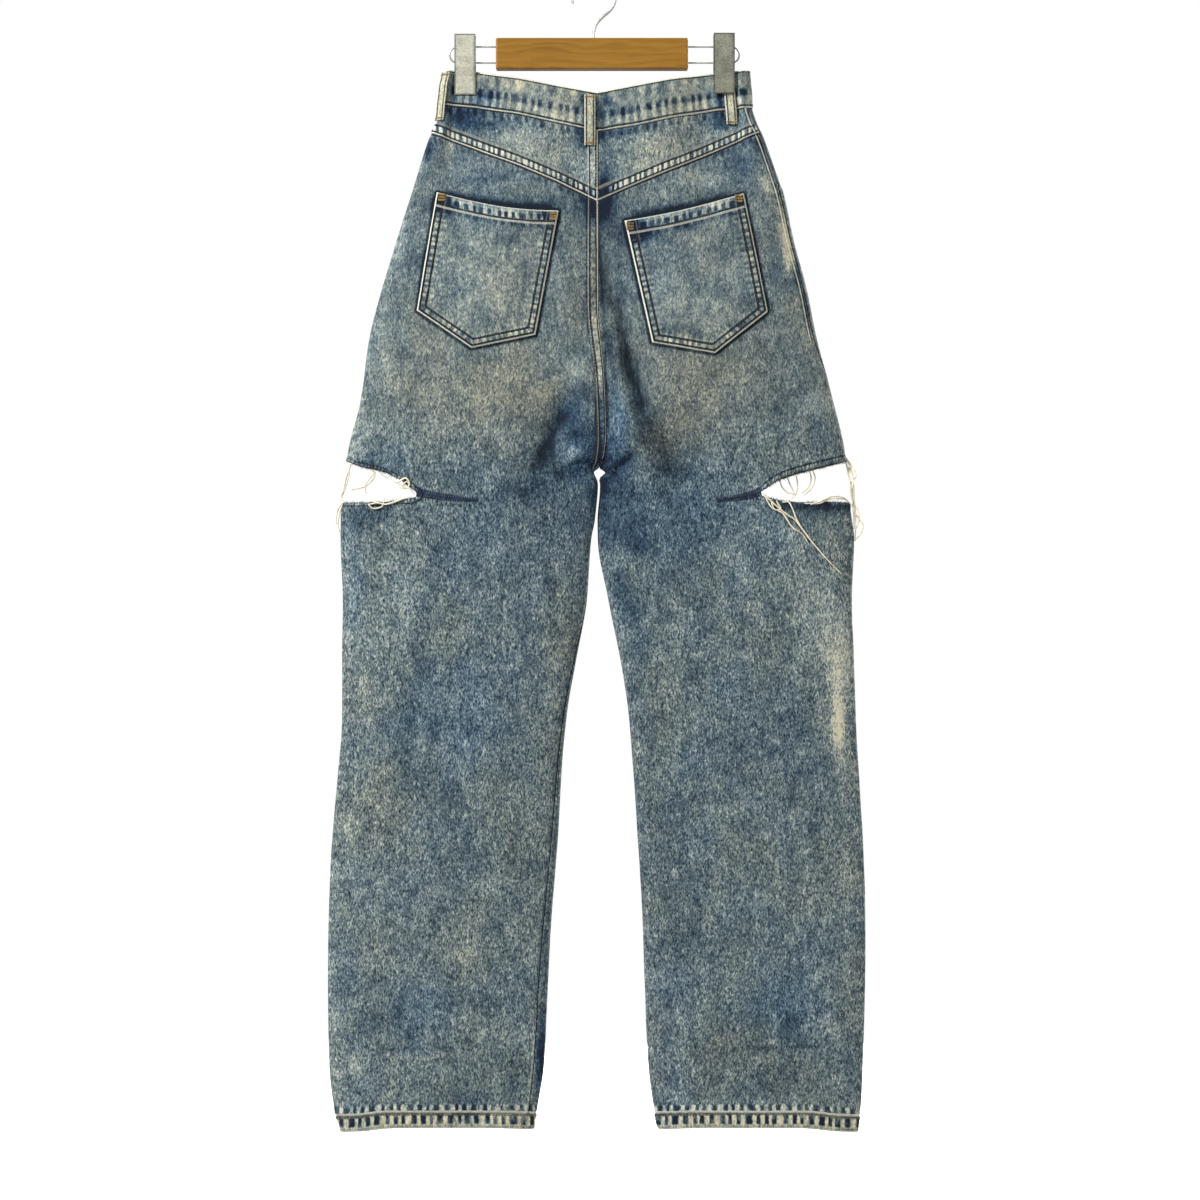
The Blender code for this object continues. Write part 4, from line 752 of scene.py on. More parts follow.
class Graph:
    """A material's nodes, added through one method."""

    def __init__(self, name: str) -> None:
        """Makes the material, whose graph starts from its Principled BSDF."""
        self.material = bpy.data.materials.new(name)
        self.material.use_nodes = True
        self.tree = self.material.node_tree
        self.shader = self.tree.nodes["Principled BSDF"]
        self.known: dict[str, Value] = {}

    def node(self, kind: str, settings: Optional[dict] = None, inputs: Optional[dict] = None,
             output: Union[int, str] = 0) -> Value:
        """Adds a node.

        Args:
            kind: the node's type.
            settings: its own settings, set before its sockets. "stops" are a ramp's.
            inputs: numbers, tuples or values for its input sockets.
            output: which output is wanted.

        Returns:
            That output as a value.
        """
        made = self.tree.nodes.new(kind)
        for name, setting in (settings or {}).items():
            if name == "stops":
                self.set_stops(made.color_ramp, setting)
            else:
                setattr(made, name, setting)
        for name, value in (inputs or {}).items():
            self.feed(made.inputs[name], value)
        return Value(self, made.outputs[output])

    def set_stops(self, ramp: bpy.types.ColorRamp, stops: Sequence[tuple]) -> None:
        """Gives a ramp its (place, colour) stops."""
        while len(ramp.elements) > 1:
            ramp.elements.remove(ramp.elements[0])
        for number, (place, colour) in enumerate(stops):
            stop = ramp.elements[0] if number == 0 else ramp.elements.new(place)
            stop.position = place
            stop.color = (*colour, 1.0)

    def feed(self, socket: bpy.types.NodeSocket, value: object) -> None:
        """Links a value to a socket, or sets it."""
        if isinstance(value, Value):
            self.tree.links.new(value.socket, socket)
        elif isinstance(value, tuple) and len(value) == 3 and len(socket.default_value) == 4:
            socket.default_value = (*value, 1.0)
        else:
            socket.default_value = value

    def maths(self, operation: str, *numbers: Number) -> Value:
        """A Math node."""
        return self.node("ShaderNodeMath", {"operation": operation}, dict(enumerate(numbers)))

    def scaled(self, vector: Value, factors: Paint) -> Value:
        """A vector with each axis multiplied."""
        return self.node("ShaderNodeVectorMath", {"operation": "MULTIPLY"}, {0: vector, 1: factors})

    def place(self) -> Value:
        """Object coordinates in millimetres."""
        if "place" not in self.known:
            here = self.node("ShaderNodeTexCoord", output="Object")
            self.known["place"] = self.scaled(here, (1 / MM, 1 / MM, 1 / MM))
        return self.known["place"]

    def read(self, name: str) -> Value:
        """A vector attribute of the mesh."""
        if name not in self.known:
            self.known[name] = self.node("ShaderNodeAttribute", {"attribute_name": name}, output="Vector")
        return self.known[name]

    def noise(self, waves: "float | Paint", detail: float, rough: float = 0.5, bend: float = 0.0) -> Value:
        """Noise over the piece.

        Args:
            waves: length of its waves in millimetres, the same or one for each axis.
            detail: octaves of finer noise.
            rough: how strong the finer octaves are.
            bend: how far it is distorted.

        Returns:
            0 to 1, round 0.5.
        """
        waves = waves if isinstance(waves, tuple) else (waves,) * 3
        vector = self.scaled(self.place(), tuple(1 / wave for wave in waves))
        inputs = {"Vector": vector, "Scale": 1.0, "Detail": detail, "Roughness": rough, "Distortion": bend}
        return self.node("ShaderNodeTexNoise", {"normalize": True}, inputs, output="Fac")

    def blend(self, factor: Number, first: object, second: object) -> Value:
        """Two colours mixed."""
        made = self.tree.nodes.new("ShaderNodeMix")
        made.data_type = "RGBA"
        self.feed(made.inputs["Factor"], factor)
        colours = [socket for socket in made.inputs if socket.type == "RGBA"]
        self.feed(colours[0], first)
        self.feed(colours[1], second)
        return Value(self, next(socket for socket in made.outputs if socket.type == "RGBA"))

    def ramp(self, value: Value, stops: Sequence[tuple]) -> Value:
        """A colour read from stops."""
        return self.node("ShaderNodeValToRGB", {"stops": stops}, {0: value}, output="Color")

    def bump(self, height: Value, strength: float, distance: float) -> None:
        """Feeds the shader's normal from a height in millimetres."""
        inputs = {"Strength": strength, "Distance": distance * MM, "Height": height}
        self.feed(self.shader.inputs["Normal"], self.node("ShaderNodeBump", {}, inputs, output="Normal"))

    def finish(self, **sockets: object) -> Material:
        """Sets the shader's own sockets, with spaces for underscores, and returns the material."""
        for name, value in sockets.items():
            self.feed(self.shader.inputs[name.replace("_", " ").title().replace("Ior", "IOR")], value)
        return self.material


STUDIO_LIGHT = 4.0  # how brightly the studio lights a facing surface, against its plain white world


def tint(red: int, green: int, blue: int) -> Paint:
    """The paint that shows as a display colour of 0 to 255 in the studio's light."""
    parts = (part / 255 for part in (red, green, blue))
    linear = (part / 12.92 if part <= 0.04045 else ((part + 0.055) / 1.055) ** 2.4 for part in parts)
    return tuple(part / STUDIO_LIGHT for part in linear)


def stops(places: Sequence[float], *colours: tuple[int, int, int]) -> tuple:
    """A ramp's stops from places and display colours."""
    return tuple((place, tint(*colour)) for place, colour in zip(places, colours))


class Band(NamedTuple):
    """A worn strip beside a seam, read from an (along, off) attribute in millimetres."""

    seam: str
    near: float
    far: float
    pitch: float
    contrast: float
    lift: float
    soft: float = 1.0


class Line(NamedTuple):
    """A thin line along a seam: cream where its strength is above 0, and dark where it is below, which mostly
    paints shade: shadow beside raised edges and in stitch rows.
    """

    seam: str
    at: float
    width: float
    strength: float


def by_seam(kind: Callable, **seams: Sequence[tuple]) -> tuple:
    """Bands or lines from rows of numbers for each seam."""
    return tuple(kind(seam, *row) for seam, rows in seams.items() for row in rows)


TONES = (0.0, 0.15, 0.3, 0.45, 0.6, 0.75, 0.9, 1.0)
WASH_STOPS = stops(TONES, (9, 25, 36), (37, 54, 66), (67, 84, 92), (98, 112, 116), (129, 142, 140),
                   (160, 170, 164), (193, 198, 186), (215, 214, 197))
COOL_STOPS = stops(TONES, (3, 21, 42), (26, 50, 75), (52, 81, 103), (82, 110, 130), (114, 140, 154),
                   (148, 168, 176), (184, 196, 198), (208, 213, 210))
WARM_STOPS = stops(TONES, (18, 26, 29), (47, 54, 55), (78, 84, 81), (109, 113, 104), (141, 142, 126),
                   (172, 170, 147), (203, 199, 171), (221, 214, 184))
CREAM = tint(242, 240, 220)


@dataclass(frozen=True)
class Denim:
    """Acid-washed denim: clouds, a salt and pepper grain, worn seams, painted shade along its edges and
    stitch rows, and a twill.
    """

    name: str
    tone: float = 0.5
    bands: tuple[Band, ...] = ()
    lines: tuple[Line, ...] = ()
    grain: float = 1.0
    clouds: float = 0.30
    warmth: float = 0.0
    bluing: float = 0.3
    streaks: float = 0.42
    twill_pitch: float = 0.95

    def make(self) -> Material:
        """The material, for the cloth's outside."""
        graph = Graph(self.name)
        wash = graph.read("wash")
        broad = graph.noise((19, 19, 28), 5.0, 0.62, 0.4)
        streak = graph.noise((4.2, 4.2, 11), 2.0, 0.6)
        speck = graph.noise((1.25, 1.25, 2.9), 2.0, 0.55, 0.5) - 0.5
        fleck = graph.noise((2.3, 2.3, 4.4), 2.0, 0.6, 0.8) - 0.5
        tone = wash.part("X") + self.tone
        tone = tone + (broad - 0.5) * (self.clouds * 2.0) + (streak - 0.5) * self.streaks
        uneven, patchy = graph.noise(7.5, 2.0, 0.6), graph.noise(15, 2.0, 0.6)
        for band in self.bands:
            tone = tone + self.worn(graph, band, uneven, patchy)
        salt = (wash.part("Z") + 1.0) * (tone * 1.25 + 0.42).least(1.1).most(0.3) * self.grain
        warm = (graph.noise((52, 52, 80), 3.0, 0.55) - 0.5) * 1.5 + wash.part("Y")
        warm = warm + (tone - 0.5) * self.bluing + self.warmth
        tone = tone + (speck * 1.6 + fleck * 0.85) * salt
        cream: Number = 0.0
        # Lines above 0 are worn cream edges; lines below 0 paint shade into the tone.
        for line in self.lines:
            mask = self.stroke(graph, line, uneven) * line.strength
            if line.strength > 0:
                cream = mask + cream
            else:
                tone = tone + mask
        colour = graph.ramp(tone, WASH_STOPS)
        colour = graph.blend(warm.most(0.0).least(1.0), colour, graph.ramp(tone, WARM_STOPS))
        colour = graph.blend((-warm).most(0.0).least(1.0), colour, graph.ramp(tone, COOL_STOPS))
        if self.lines:
            colour = graph.blend((cream * (speck * 0.8 + 0.95)).least(1.0).most(0.0), colour, CREAM)
        place = graph.place()
        rib = ((place.part("X") + place.part("Z") * 0.62) * (TURN / self.twill_pitch)).sine()
        graph.bump(rib * 0.05 + speck * 0.5 + fleck * 0.3, 0.55, 0.5)
        return graph.finish(base_color=colour, roughness=0.92, sheen_weight=0.03, sheen_roughness=0.6,
                            specular_ior_level=0.05)

    def worn(self, graph: Graph, band: Band, uneven: Value, patchy: Value) -> Value:
        """What a seam's strip adds to the tone.

        Args:
            graph: the material's graph.
            band: the strip.
            uneven: fine noise that shifts its edges.
            patchy: broad noise that fades it in places.

        Returns:
            The tone to add.
        """
        seam = graph.read(band.seam)
        off = seam.part("Y")
        window = off.between(band.near - band.soft, band.near + band.soft)
        window = window * (1.0 - off.between(band.far - band.soft, band.far + band.soft))
        if band.pitch <= 0.0:
            return window * band.lift
        wave = rope_wave(seam.part("X"), band.pitch, Value.sine)
        edge = 0.45 + 0.22 * band.soft
        jitter = (0.1 + 0.06 * band.soft) * band.pitch
        blocks = (wave + (uneven - 0.5) * jitter).between(-edge, edge)
        strength = patchy.between(0.33, 0.6) * 0.7 + 0.45
        return window * strength * ((blocks - 0.5) * band.contrast + band.lift)

    def stroke(self, graph: Graph, line: Line, uneven: Value) -> Value:
        """How strongly a thin line shows."""
        wide = (uneven - 0.5) * (0.9 * line.width) + line.width
        off = (graph.read(line.seam).part("Y") - line.at).size()
        return 1.0 - (off - wide * 0.5 + 0.25).between(0.0, 0.55)


@dataclass(frozen=True)
class Inside:
    """The cloth's inside, where the pale weft shows."""

    name: str = "denim_inside"

    def make(self) -> Material:
        """The material."""
        graph = Graph(self.name)
        speck = graph.noise((1.2, 1.2, 2.4), 3.0, 0.65) - 0.5
        broad = graph.noise((34, 34, 50), 3.0, 0.55) - 0.5
        place = graph.place()
        rib = ((place.part("X") - place.part("Z") * 0.62) * (TURN / 0.95)).sine()
        graph.bump(rib * 0.05 + speck * 0.4, 0.5, 0.5)
        colour = graph.ramp(speck * 0.9 + broad * 0.5 + 0.74, WASH_STOPS)
        return graph.finish(base_color=colour, roughness=0.95, specular_ior_level=0.1)


@dataclass(frozen=True)
class Yarn:
    """A sewing or frayed thread, twisted and a little uneven in colour."""

    name: str
    light: Paint
    dark: Paint

    def make(self) -> Material:
        """The material."""
        graph = Graph(self.name)
        place = graph.place()
        twist = ((place.part("X") + place.part("Z")) * (TURN / 0.8)).sine()
        colour = graph.blend(graph.noise(6, 2.0, 0.6).between(0.3, 0.7), self.dark, self.light)
        graph.bump(twist * 0.06, 0.5, 0.4)
        return graph.finish(base_color=colour, roughness=0.78, specular_ior_level=0.1)


@dataclass(frozen=True)
class Wood:
    """Varnished honey-brown wood, its grain along the bar."""

    name: str = "varnished_wood"

    def make(self) -> Material:
        """The material."""
        graph = Graph(self.name)
        place = graph.place()
        figure = graph.noise((95, 12, 16), 2.0, 0.5, 0.6)
        rings = ((place.part("Z") + place.part("Y") * 0.4 + figure * 26.0) * (TURN / 7.5)).sine()
        pores = graph.noise((18, 0.8, 0.8), 3.0, 0.6)
        tone = rings.between(-1.0, 1.0) * 0.18 + (pores - 0.5) * 0.5 + (figure - 0.5) * 0.6 + 0.3
        colour = graph.ramp(tone, stops((0.0, 0.45, 1.0), (124, 82, 16), (156, 111, 30), (174, 130, 48)))
        graph.bump((pores - 0.5) * 0.4, 0.2, 0.3)
        return graph.finish(base_color=colour, roughness=pores * 0.2 + 0.4, specular_ior_level=0.1)


@dataclass(frozen=True)
class Plated:
    """Plated metal, mottled by handling, and where its plate is given, with painted shade along the plate's
    rolled edges and a painted dark line near its right edge.
    """

    name: str
    light: Paint
    dark: Paint
    rough: float = 0.38
    mottle: float = 1.6
    plate: Optional[tuple[float, float, float, float]] = None

    def make(self) -> Material:
        """The material."""
        graph = Graph(self.name)
        place = graph.place()
        spots = graph.noise(self.mottle, 4.0, 0.7)
        worn = (spots * 0.65 + graph.noise(11, 3.0, 0.6) * 0.35).between(0.36, 0.62)
        colour = graph.blend(worn, self.dark, self.light)
        # Painted shade: the plate's rolled edges and a line near its right edge are darkened.
        if self.plate:
            left, right, low, high = self.plate
            x, z = place.part("X"), place.part("Z")
            edge = (x - left).least(right - x).least(z - low).least(high - z)
            rolled = 1.0 - edge.between(0.8, 1.7)
            inner = (right - x).between(1.6, 3.4) * -0.45 + 0.45
            colour = graph.blend(rolled.most(inner) * 0.75, colour, tint(62, 62, 56))
        graph.bump((spots - 0.5) * 0.5, 0.35, 0.25)
        return graph.finish(base_color=colour, metallic=0.3, roughness=worn * 0.16 + self.rough,
                            specular_ior_level=0.3)


@dataclass(frozen=True)
class Studio:
    """The pale paint of the floor."""

    name: str = "pale_floor"

    def make(self) -> Material:
        """The material."""
        graph = Graph(self.name)
        colour = graph.blend(graph.noise(400, 2.0), (0.46, 0.46, 0.465), (0.48, 0.48, 0.48))
        return graph.finish(base_color=colour, roughness=0.7)


# ---- meshes


def make_active(piece: Piece) -> None:
    """Selects one object alone, because operators act on all that is selected."""
    for other in bpy.context.view_layer.objects:
        other.select_set(False)
    piece.select_set(True)
    bpy.context.view_layer.objects.active = piece


def apply_all(piece: Piece) -> None:
    """Applies an object's modifiers."""
    make_active(piece)
    for modifier in list(piece.modifiers):
        bpy.ops.object.modifier_apply(modifier=modifier.name)


def new_object(name: str, points: Array, faces: Array, *finishes: Material) -> Piece:
    """A mesh object from points in metres and rows of point numbers.

    Args:
        name: the object's name.
        points: an array of points.
        faces: an array or list of faces.
        finishes: its materials.

    Returns:
        The object, linked to the scene.
    """
    mesh = bpy.data.meshes.new(name)
    mesh.from_pydata(np.asarray(points).tolist(), [], [list(map(int, face)) for face in faces])
    mesh.update()
    made = bpy.data.objects.new(name, mesh)
    bpy.context.scene.collection.objects.link(made)
    for finish in finishes:
        mesh.materials.append(finish)
    return made


def across_rows(grid: Array) -> Array:
    """Distance of each point from the start of its row, along the row."""
    steps = np.linalg.norm(np.diff(grid, axis=1), axis=-1)
    return np.concatenate((np.zeros((len(grid), 1)), np.cumsum(steps, axis=1)), axis=1)


FAR_OFF = 60.0  # so far from a seam that nothing of it shows


def pair(along: Array, off: Array) -> Array:
    """An (along, off, 0) attribute."""
    along, off = np.broadcast_arrays(along, off)
    return np.stack((along, off, np.zeros_like(along)), axis=-1)


def declare(piece: Piece, slot: str, *nodes: str) -> Piece:
    """Rides a piece on the body, hides the solids it stands for, and reports it."""
    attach(piece, BODY)
    if nodes:
        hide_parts(*nodes)
    LOG.info("%s: %d faces", piece.name, len(piece.data.polygons))
    return piece


class Cut(NamedTuple):
    """The flat piece that a maker cuts, in metres, how it is held and what it rests on."""

    flat: tuple[float, float]
    held: str
    rests_on: str
    area: Optional[float] = None


@dataclass
class Cloth:
    """A sheet of cloth from a grid of points on its outer side."""

    name: str
    nodes: Sequence[str]
    cut: Cut
    grid: Array
    outward: Array
    attributes: dict[str, Array]
    wall: float = WALL
    keep: Optional[Array] = None
    closed: bool = False

    def faces(self) -> Array:
        """The grid's kept faces, turned to the outer side."""
        rows, across = self.grid.shape[:2]
        number = np.arange(rows * across).reshape(rows, across)
        if self.closed:
            number[:, -1] = number[:, 0]
        faces = np.stack((number[:-1, :-1], number[:-1, 1:], number[1:, 1:], number[1:, :-1]), axis=-1)
        along = self.grid[:-1, 1:] - self.grid[:-1, :-1]
        down = self.grid[1:, :-1] - self.grid[:-1, :-1]
        if np.sum(np.cross(along, down) * self.outward[:-1, :-1]) < 0:
            faces = faces[..., ::-1]
        return faces.reshape(-1, 4) if self.keep is None else faces[self.keep]

    def build(self, outside: Material, inside: Material) -> Piece:
        """Args:
            outside: material of the outer side and the rims.
            inside: material of the inner side.

        Returns:
            The finished piece.
        """
        chosen = self.faces()
        used, renumbered = np.unique(chosen, return_inverse=True)
        points = to_frame(self.grid.reshape(-1, 3)[used])
        made = new_object(self.name, points, renumbered.reshape(chosen.shape), outside, inside)
        for name, values in self.attributes.items():
            stored = made.data.attributes.new(name, "FLOAT_VECTOR", "POINT")
            stored.data.foreach_set("vector", values.reshape(-1, 3)[used].astype(np.float32).ravel())
        wall = made.modifiers.new("wall", "SOLIDIFY")
        wall.thickness = self.wall * MM
        wall.offset = -1.0
        wall.material_offset = 1
        apply_all(made)
        made.data.shade_smooth()
        declare(made, "denim", *self.nodes)
        return made


CREASE_DYE_AND_SHADE, RIDGE_WEAR_AND_HIGHLIGHT = 0.022, 0.016  # tone lost in each millimetre of a crease, partly dye left in it and partly painted shade, or won on a ridge, partly wear and partly painted highlight


def wash(face: "Face | Array", x: Array, height: Array) -> Array:
    """The bleach's soft patches, painted shade and highlight along folds and edges, creases darker and ridges
    lighter, as a (tone, warm, salt) attribute.

    Args:
        face: the face, or an array that is true on the back.
        x: x of the places.
        height: their heights.

    Returns:
        The attribute's values.
    """
    is_back = np.broadcast_to(face is Face.BACK if isinstance(face, Face) else face, x.shape)
    tone, warm = np.zeros(x.shape), np.zeros(x.shape)
    for patch in PATCHES:
        near = np.exp(-((x - patch.x) / patch.wide) ** 2 - ((height - patch.height) / patch.tall) ** 2)
        near = near * (is_back == (patch.face is Face.BACK)) / 100
        tone, warm = tone + patch.tone * near, warm + patch.warm * near
    # Strokes of painted shade and highlight, with a few navy and cream wear lines.
    for shade in SHADE_AND_WEAR_STROKES:
        tone = tone + trough(shade, x, height, 0.2) * (is_back == (shade.face is Face.BACK))
    # Creases darker and ridges lighter: partly dye and wear, partly painted shade and highlight.
    for crease in CREASES:
        sunk = trough(crease, x, height, FORM.fold_fade) * (is_back == (crease.face is Face.BACK))
        tone = tone - np.where(sunk > 0, CREASE_DYE_AND_SHADE, RIDGE_WEAR_AND_HIGHLIGHT) * sunk
    return np.stack((tone, warm, -0.3 * ease((height - 640) / 130)), axis=-1)


# ---- stitches and threads


class StitchSize(NamedTuple):
    """A stitch: how far apart, how long, wide and high."""

    pitch: float = 3.1
    length: float = 2.6
    wide: float = 0.85
    high: float = 0.5


class Tubes:
    """Many small closed tubes gathered into one mesh."""

    def __init__(self, name: str, sides: int) -> None:
        """Starts an empty gathering of tubes with a number of sides."""
        self.name = name
        self.sides = sides
        self.turns = np.arange(sides) * (TURN / sides)
        self.points: list[Array] = []
        self.faces: list[Array] = []
        self.count = 0

    def gather(self, tubes: Array) -> None:
        """Adds tubes, given as an array of (tube, ring, side, axis)."""
        amount, rings = tubes.shape[:2]
        starts = self.count + np.arange(amount)[:, None] * (rings * self.sides)
        step = np.arange(self.sides)
        after = (step + 1) % self.sides
        for low in range(0, (rings - 1) * self.sides, self.sides):
            high = low + self.sides
            quads = np.stack((low + step, low + after, high + after, high + step), axis=-1)
            self.faces.extend((quads[None] + starts[..., None]).reshape(-1, 4))
        for cap in (step[::-1], (rings - 1) * self.sides + step):
            self.faces.extend(cap + starts)
        self.points.append(tubes.reshape(-1, 3))
        self.count += amount * rings * self.sides

    def build(self, finish: Material, *nodes: str) -> Piece:
        """The gathered mesh, riding on the body with its solids hidden."""
        made = new_object(self.name, to_frame(np.concatenate(self.points)), self.faces, finish)
        shape = bmesh.new()
        shape.from_mesh(made.data)
        bmesh.ops.recalc_face_normals(shape, faces=shape.faces[:])
        shape.to_mesh(made.data)
        shape.free()
        made.data.shade_smooth()
        return declare(made, "thread", *nodes)


class Stitches(Tubes):
    """Stitches, each a short swollen tube."""

    RINGS = ((-0.5, 0.25), (-0.34, 0.9), (0.0, 1.0), (0.34, 0.9), (0.5, 0.25))
    SINK = 0.12

    def __init__(self, name: str) -> None:
        """Starts an empty gathering."""
        super().__init__(name, 6)

    def add(self, centres: Array, ways: Array, outs: Array, size: StitchSize) -> None:
        """Adds one stitch at each centre.

        Args:
            centres: their middles.
            ways: unit vectors along the stitches.
            outs: unit vectors out of the cloth.
            size: the stitch's size.
        """
        if len(centres) == 0:
            return
        sides = np.cross(ways, outs)
        rings = []
        for place, swell in self.RINGS:
            middle = centres + ways * (place * size.length)
            sink = self.SINK if swell < 0.5 else 0.0
            rings.append(np.stack([
                middle + sides * (math.cos(turn) * swell * size.wide / 2)
                + outs * (math.sin(turn) * swell * size.high / 2 - sink) for turn in self.turns
            ], axis=1))
        self.gather(np.stack(rings, axis=1))

    def row(self, path: Array, outs: Array, lift: float = 0.12) -> None:
        """Adds a row of stitches along a path.

        Args:
            path: its points.
            outs: unit vectors out of the cloth at them.
            lift: how far the stitches stand off the path.
        """
        size = StitchSize()
        run = np.concatenate(((0.0,), np.cumsum(np.linalg.norm(np.diff(path, axis=0), axis=1))))
        places = np.arange(size.pitch / 2, run[-1] - size.pitch / 3, size.pitch)

        def read(values: Array, at: Array) -> Array:
            """Values along the path, read between its points."""
            return np.stack([np.interp(at, run, values[:, axis]) for axis in range(3)], axis=-1)

        at, out = read(path, places), unit(read(outs, places))
        self.add(at + out * lift, unit(read(path, places + 0.4) - at), out, size)

    def seam(self, side: Side, face: Face, x: Array, height: Array, off: float) -> None:
        """Adds a row of stitches through places that stand off the cloth of one face."""
        self.row(*FORM.dressed(side, face, x, height, off))

    def tack(self, centre: Array, along: Array, out: Array, length: float, wide: float) -> None:
        """Adds a bar tack: close stitches side by side over a bar.

        Args:
            centre: the bar's middle.
            along: the way along it.
            out: the way out of the cloth.
            length: the bar's length.
            wide: the stitches' length across it.
        """
        pitch = 0.62
        along = unit(along)
        count = max(3, int(length / pitch))
        places = (np.arange(count) / (count - 1) - 0.5) * length
        centres = centre + along * places[:, None] + out * 0.15
        lean = unit(np.cross(out, along) + along * 0.18)
        size = StitchSize(pitch, wide, 0.66, 0.6)
        self.add(centres, np.tile(lean, (count, 1)), np.tile(out, (count, 1)), size)


class Strands(Tubes):
    """Thin round threads."""

    def add(self, path: Array, radius: float, taper: float = 0.35) -> None:
        """Adds a thread along a path.

        Args:
            path: its points.
            radius: its radius.
            taper: share of the radius left at its free end.
        """
        ways = unit(np.gradient(path, axis=0))
        helper = np.where(np.abs(ways[:, 1:2]) < 0.9, (0.0, 1.0, 0.0), (1.0, 0.0, 0.0))
        one = unit(np.cross(ways, helper))
        two = np.cross(ways, one)
        thin = radius * (1 - (1 - taper) * ease((np.linspace(0, 1, len(path)) - 0.6) / 0.4))
        ring = one[:, None] * np.cos(self.turns)[:, None] + two[:, None] * np.sin(self.turns)[:, None]
        self.gather((path[:, None] + thin[:, None, None] * ring)[None])


def through_points(knots: Sequence[Sequence[float]], count: int) -> Array:
    """Points of a smooth curve through a few knots.

    Args:
        knots: the places that it passes.
        count: how many points are wanted.

    Returns:
        The points.
    """
    knots = np.asarray(knots, dtype=float)
    ends = np.vstack((2 * knots[0] - knots[1], knots, 2 * knots[-1] - knots[-2]))
    made = []
    for place in np.linspace(0.0, len(knots) - 1.0001, count):
        t = place - int(place)
        a, b, c, d = ends[int(place):int(place) + 4]
        made.append(0.5 * (2 * b + (c - a) * t + (2 * a - 5 * b + 4 * c - d) * t * t
                           + (3 * b - 3 * c + d - a) * t ** 3))
    return np.array(made)


@dataclass
class Sewing:
    """The threads that hold the garment, gathered as the pieces are made."""

    top: Stitches = field(default_factory=lambda: Stitches("topstitching"))
    pale: Stitches = field(default_factory=lambda: Stitches("pocket_topstitching"))
    tacks: Stitches = field(default_factory=lambda: Stitches("bar_tacks"))
    navy: Stitches = field(default_factory=lambda: Stitches("dart_stitching"))


class Part:
    """A piece of cloth that is laid out, built and sewn on."""

    def cloth(self) -> Cloth:
        """Lays the piece out."""
        raise NotImplementedError

    def sew(self, sewing: Sewing) -> None:
        """Adds the piece's stitches, where it has any."""

    def build(self, outside: Material, inside: Material, sewing: Sewing) -> Piece:
        """Makes the piece and sews it on.

        Args:
            outside: the finish of its outer side.
            inside: the finish of its inner side.
            sewing: where its stitches are gathered.

        Returns:
            The finished piece.
        """
        made = self.cloth().build(outside, inside)
        self.sew(sewing)
        return made


# ---- cloth pieces


def edge_dip(off: Array, reach: float = 1.3, depth: float = 0.8) -> Array:
    """How far a turned edge rolls down as it is neared."""
    return -depth * (1 - ease(off / reach)) ** 1.5


def raised(off: Array, far: float, height: float = 1.0, soft: float = 1.1) -> Array:
    """A layer's step: raised from an edge to a distance from it."""
    return height * (1 - ease((off - far) / soft + 0.5))


class Lay:
    """A grid laid on one face of the form, and where its points are."""

    def __init__(self, side: Side, face: Face, angles: Callable, heights: Callable, guess: float,
                 shape: tuple[int, int]) -> None:
        """Settles the grid, whose heights depend on the x of its points.

        Args:
            side: which leg's tube.
            face: the face.
            angles: gives its angles from its heights.
            heights: gives its heights from its x.
            guess: a first height.
            shape: its rows and columns.
        """
        self.side, self.face, self.height = side, face, np.full(shape, guess)
        for _ in range(SETTLING):
            self.height = heights(FORM.surface(side, angles(self.height), self.height)[..., 0])
        self.angle = angles(self.height)
        self.plain = FORM.surface(side, self.angle, self.height)
        self.out = FORM.normal(side, self.angle, self.height)
        self.x = self.plain[..., 0]
        self.run = across_rows(self.plain)
        self.centre_off = self.run[:, -1:] - self.run

    def dressed(self, extra: Array) -> Array:
        """The points with the form's creases and a piece's own relief."""
        return self.plain + self.out * (FORM.relief(self.face, self.x, self.height) + extra)[..., None]

    def wash(self) -> Array:
        """The bleach patches and painted shade at its points."""
        return wash(self.face, self.x, self.height)


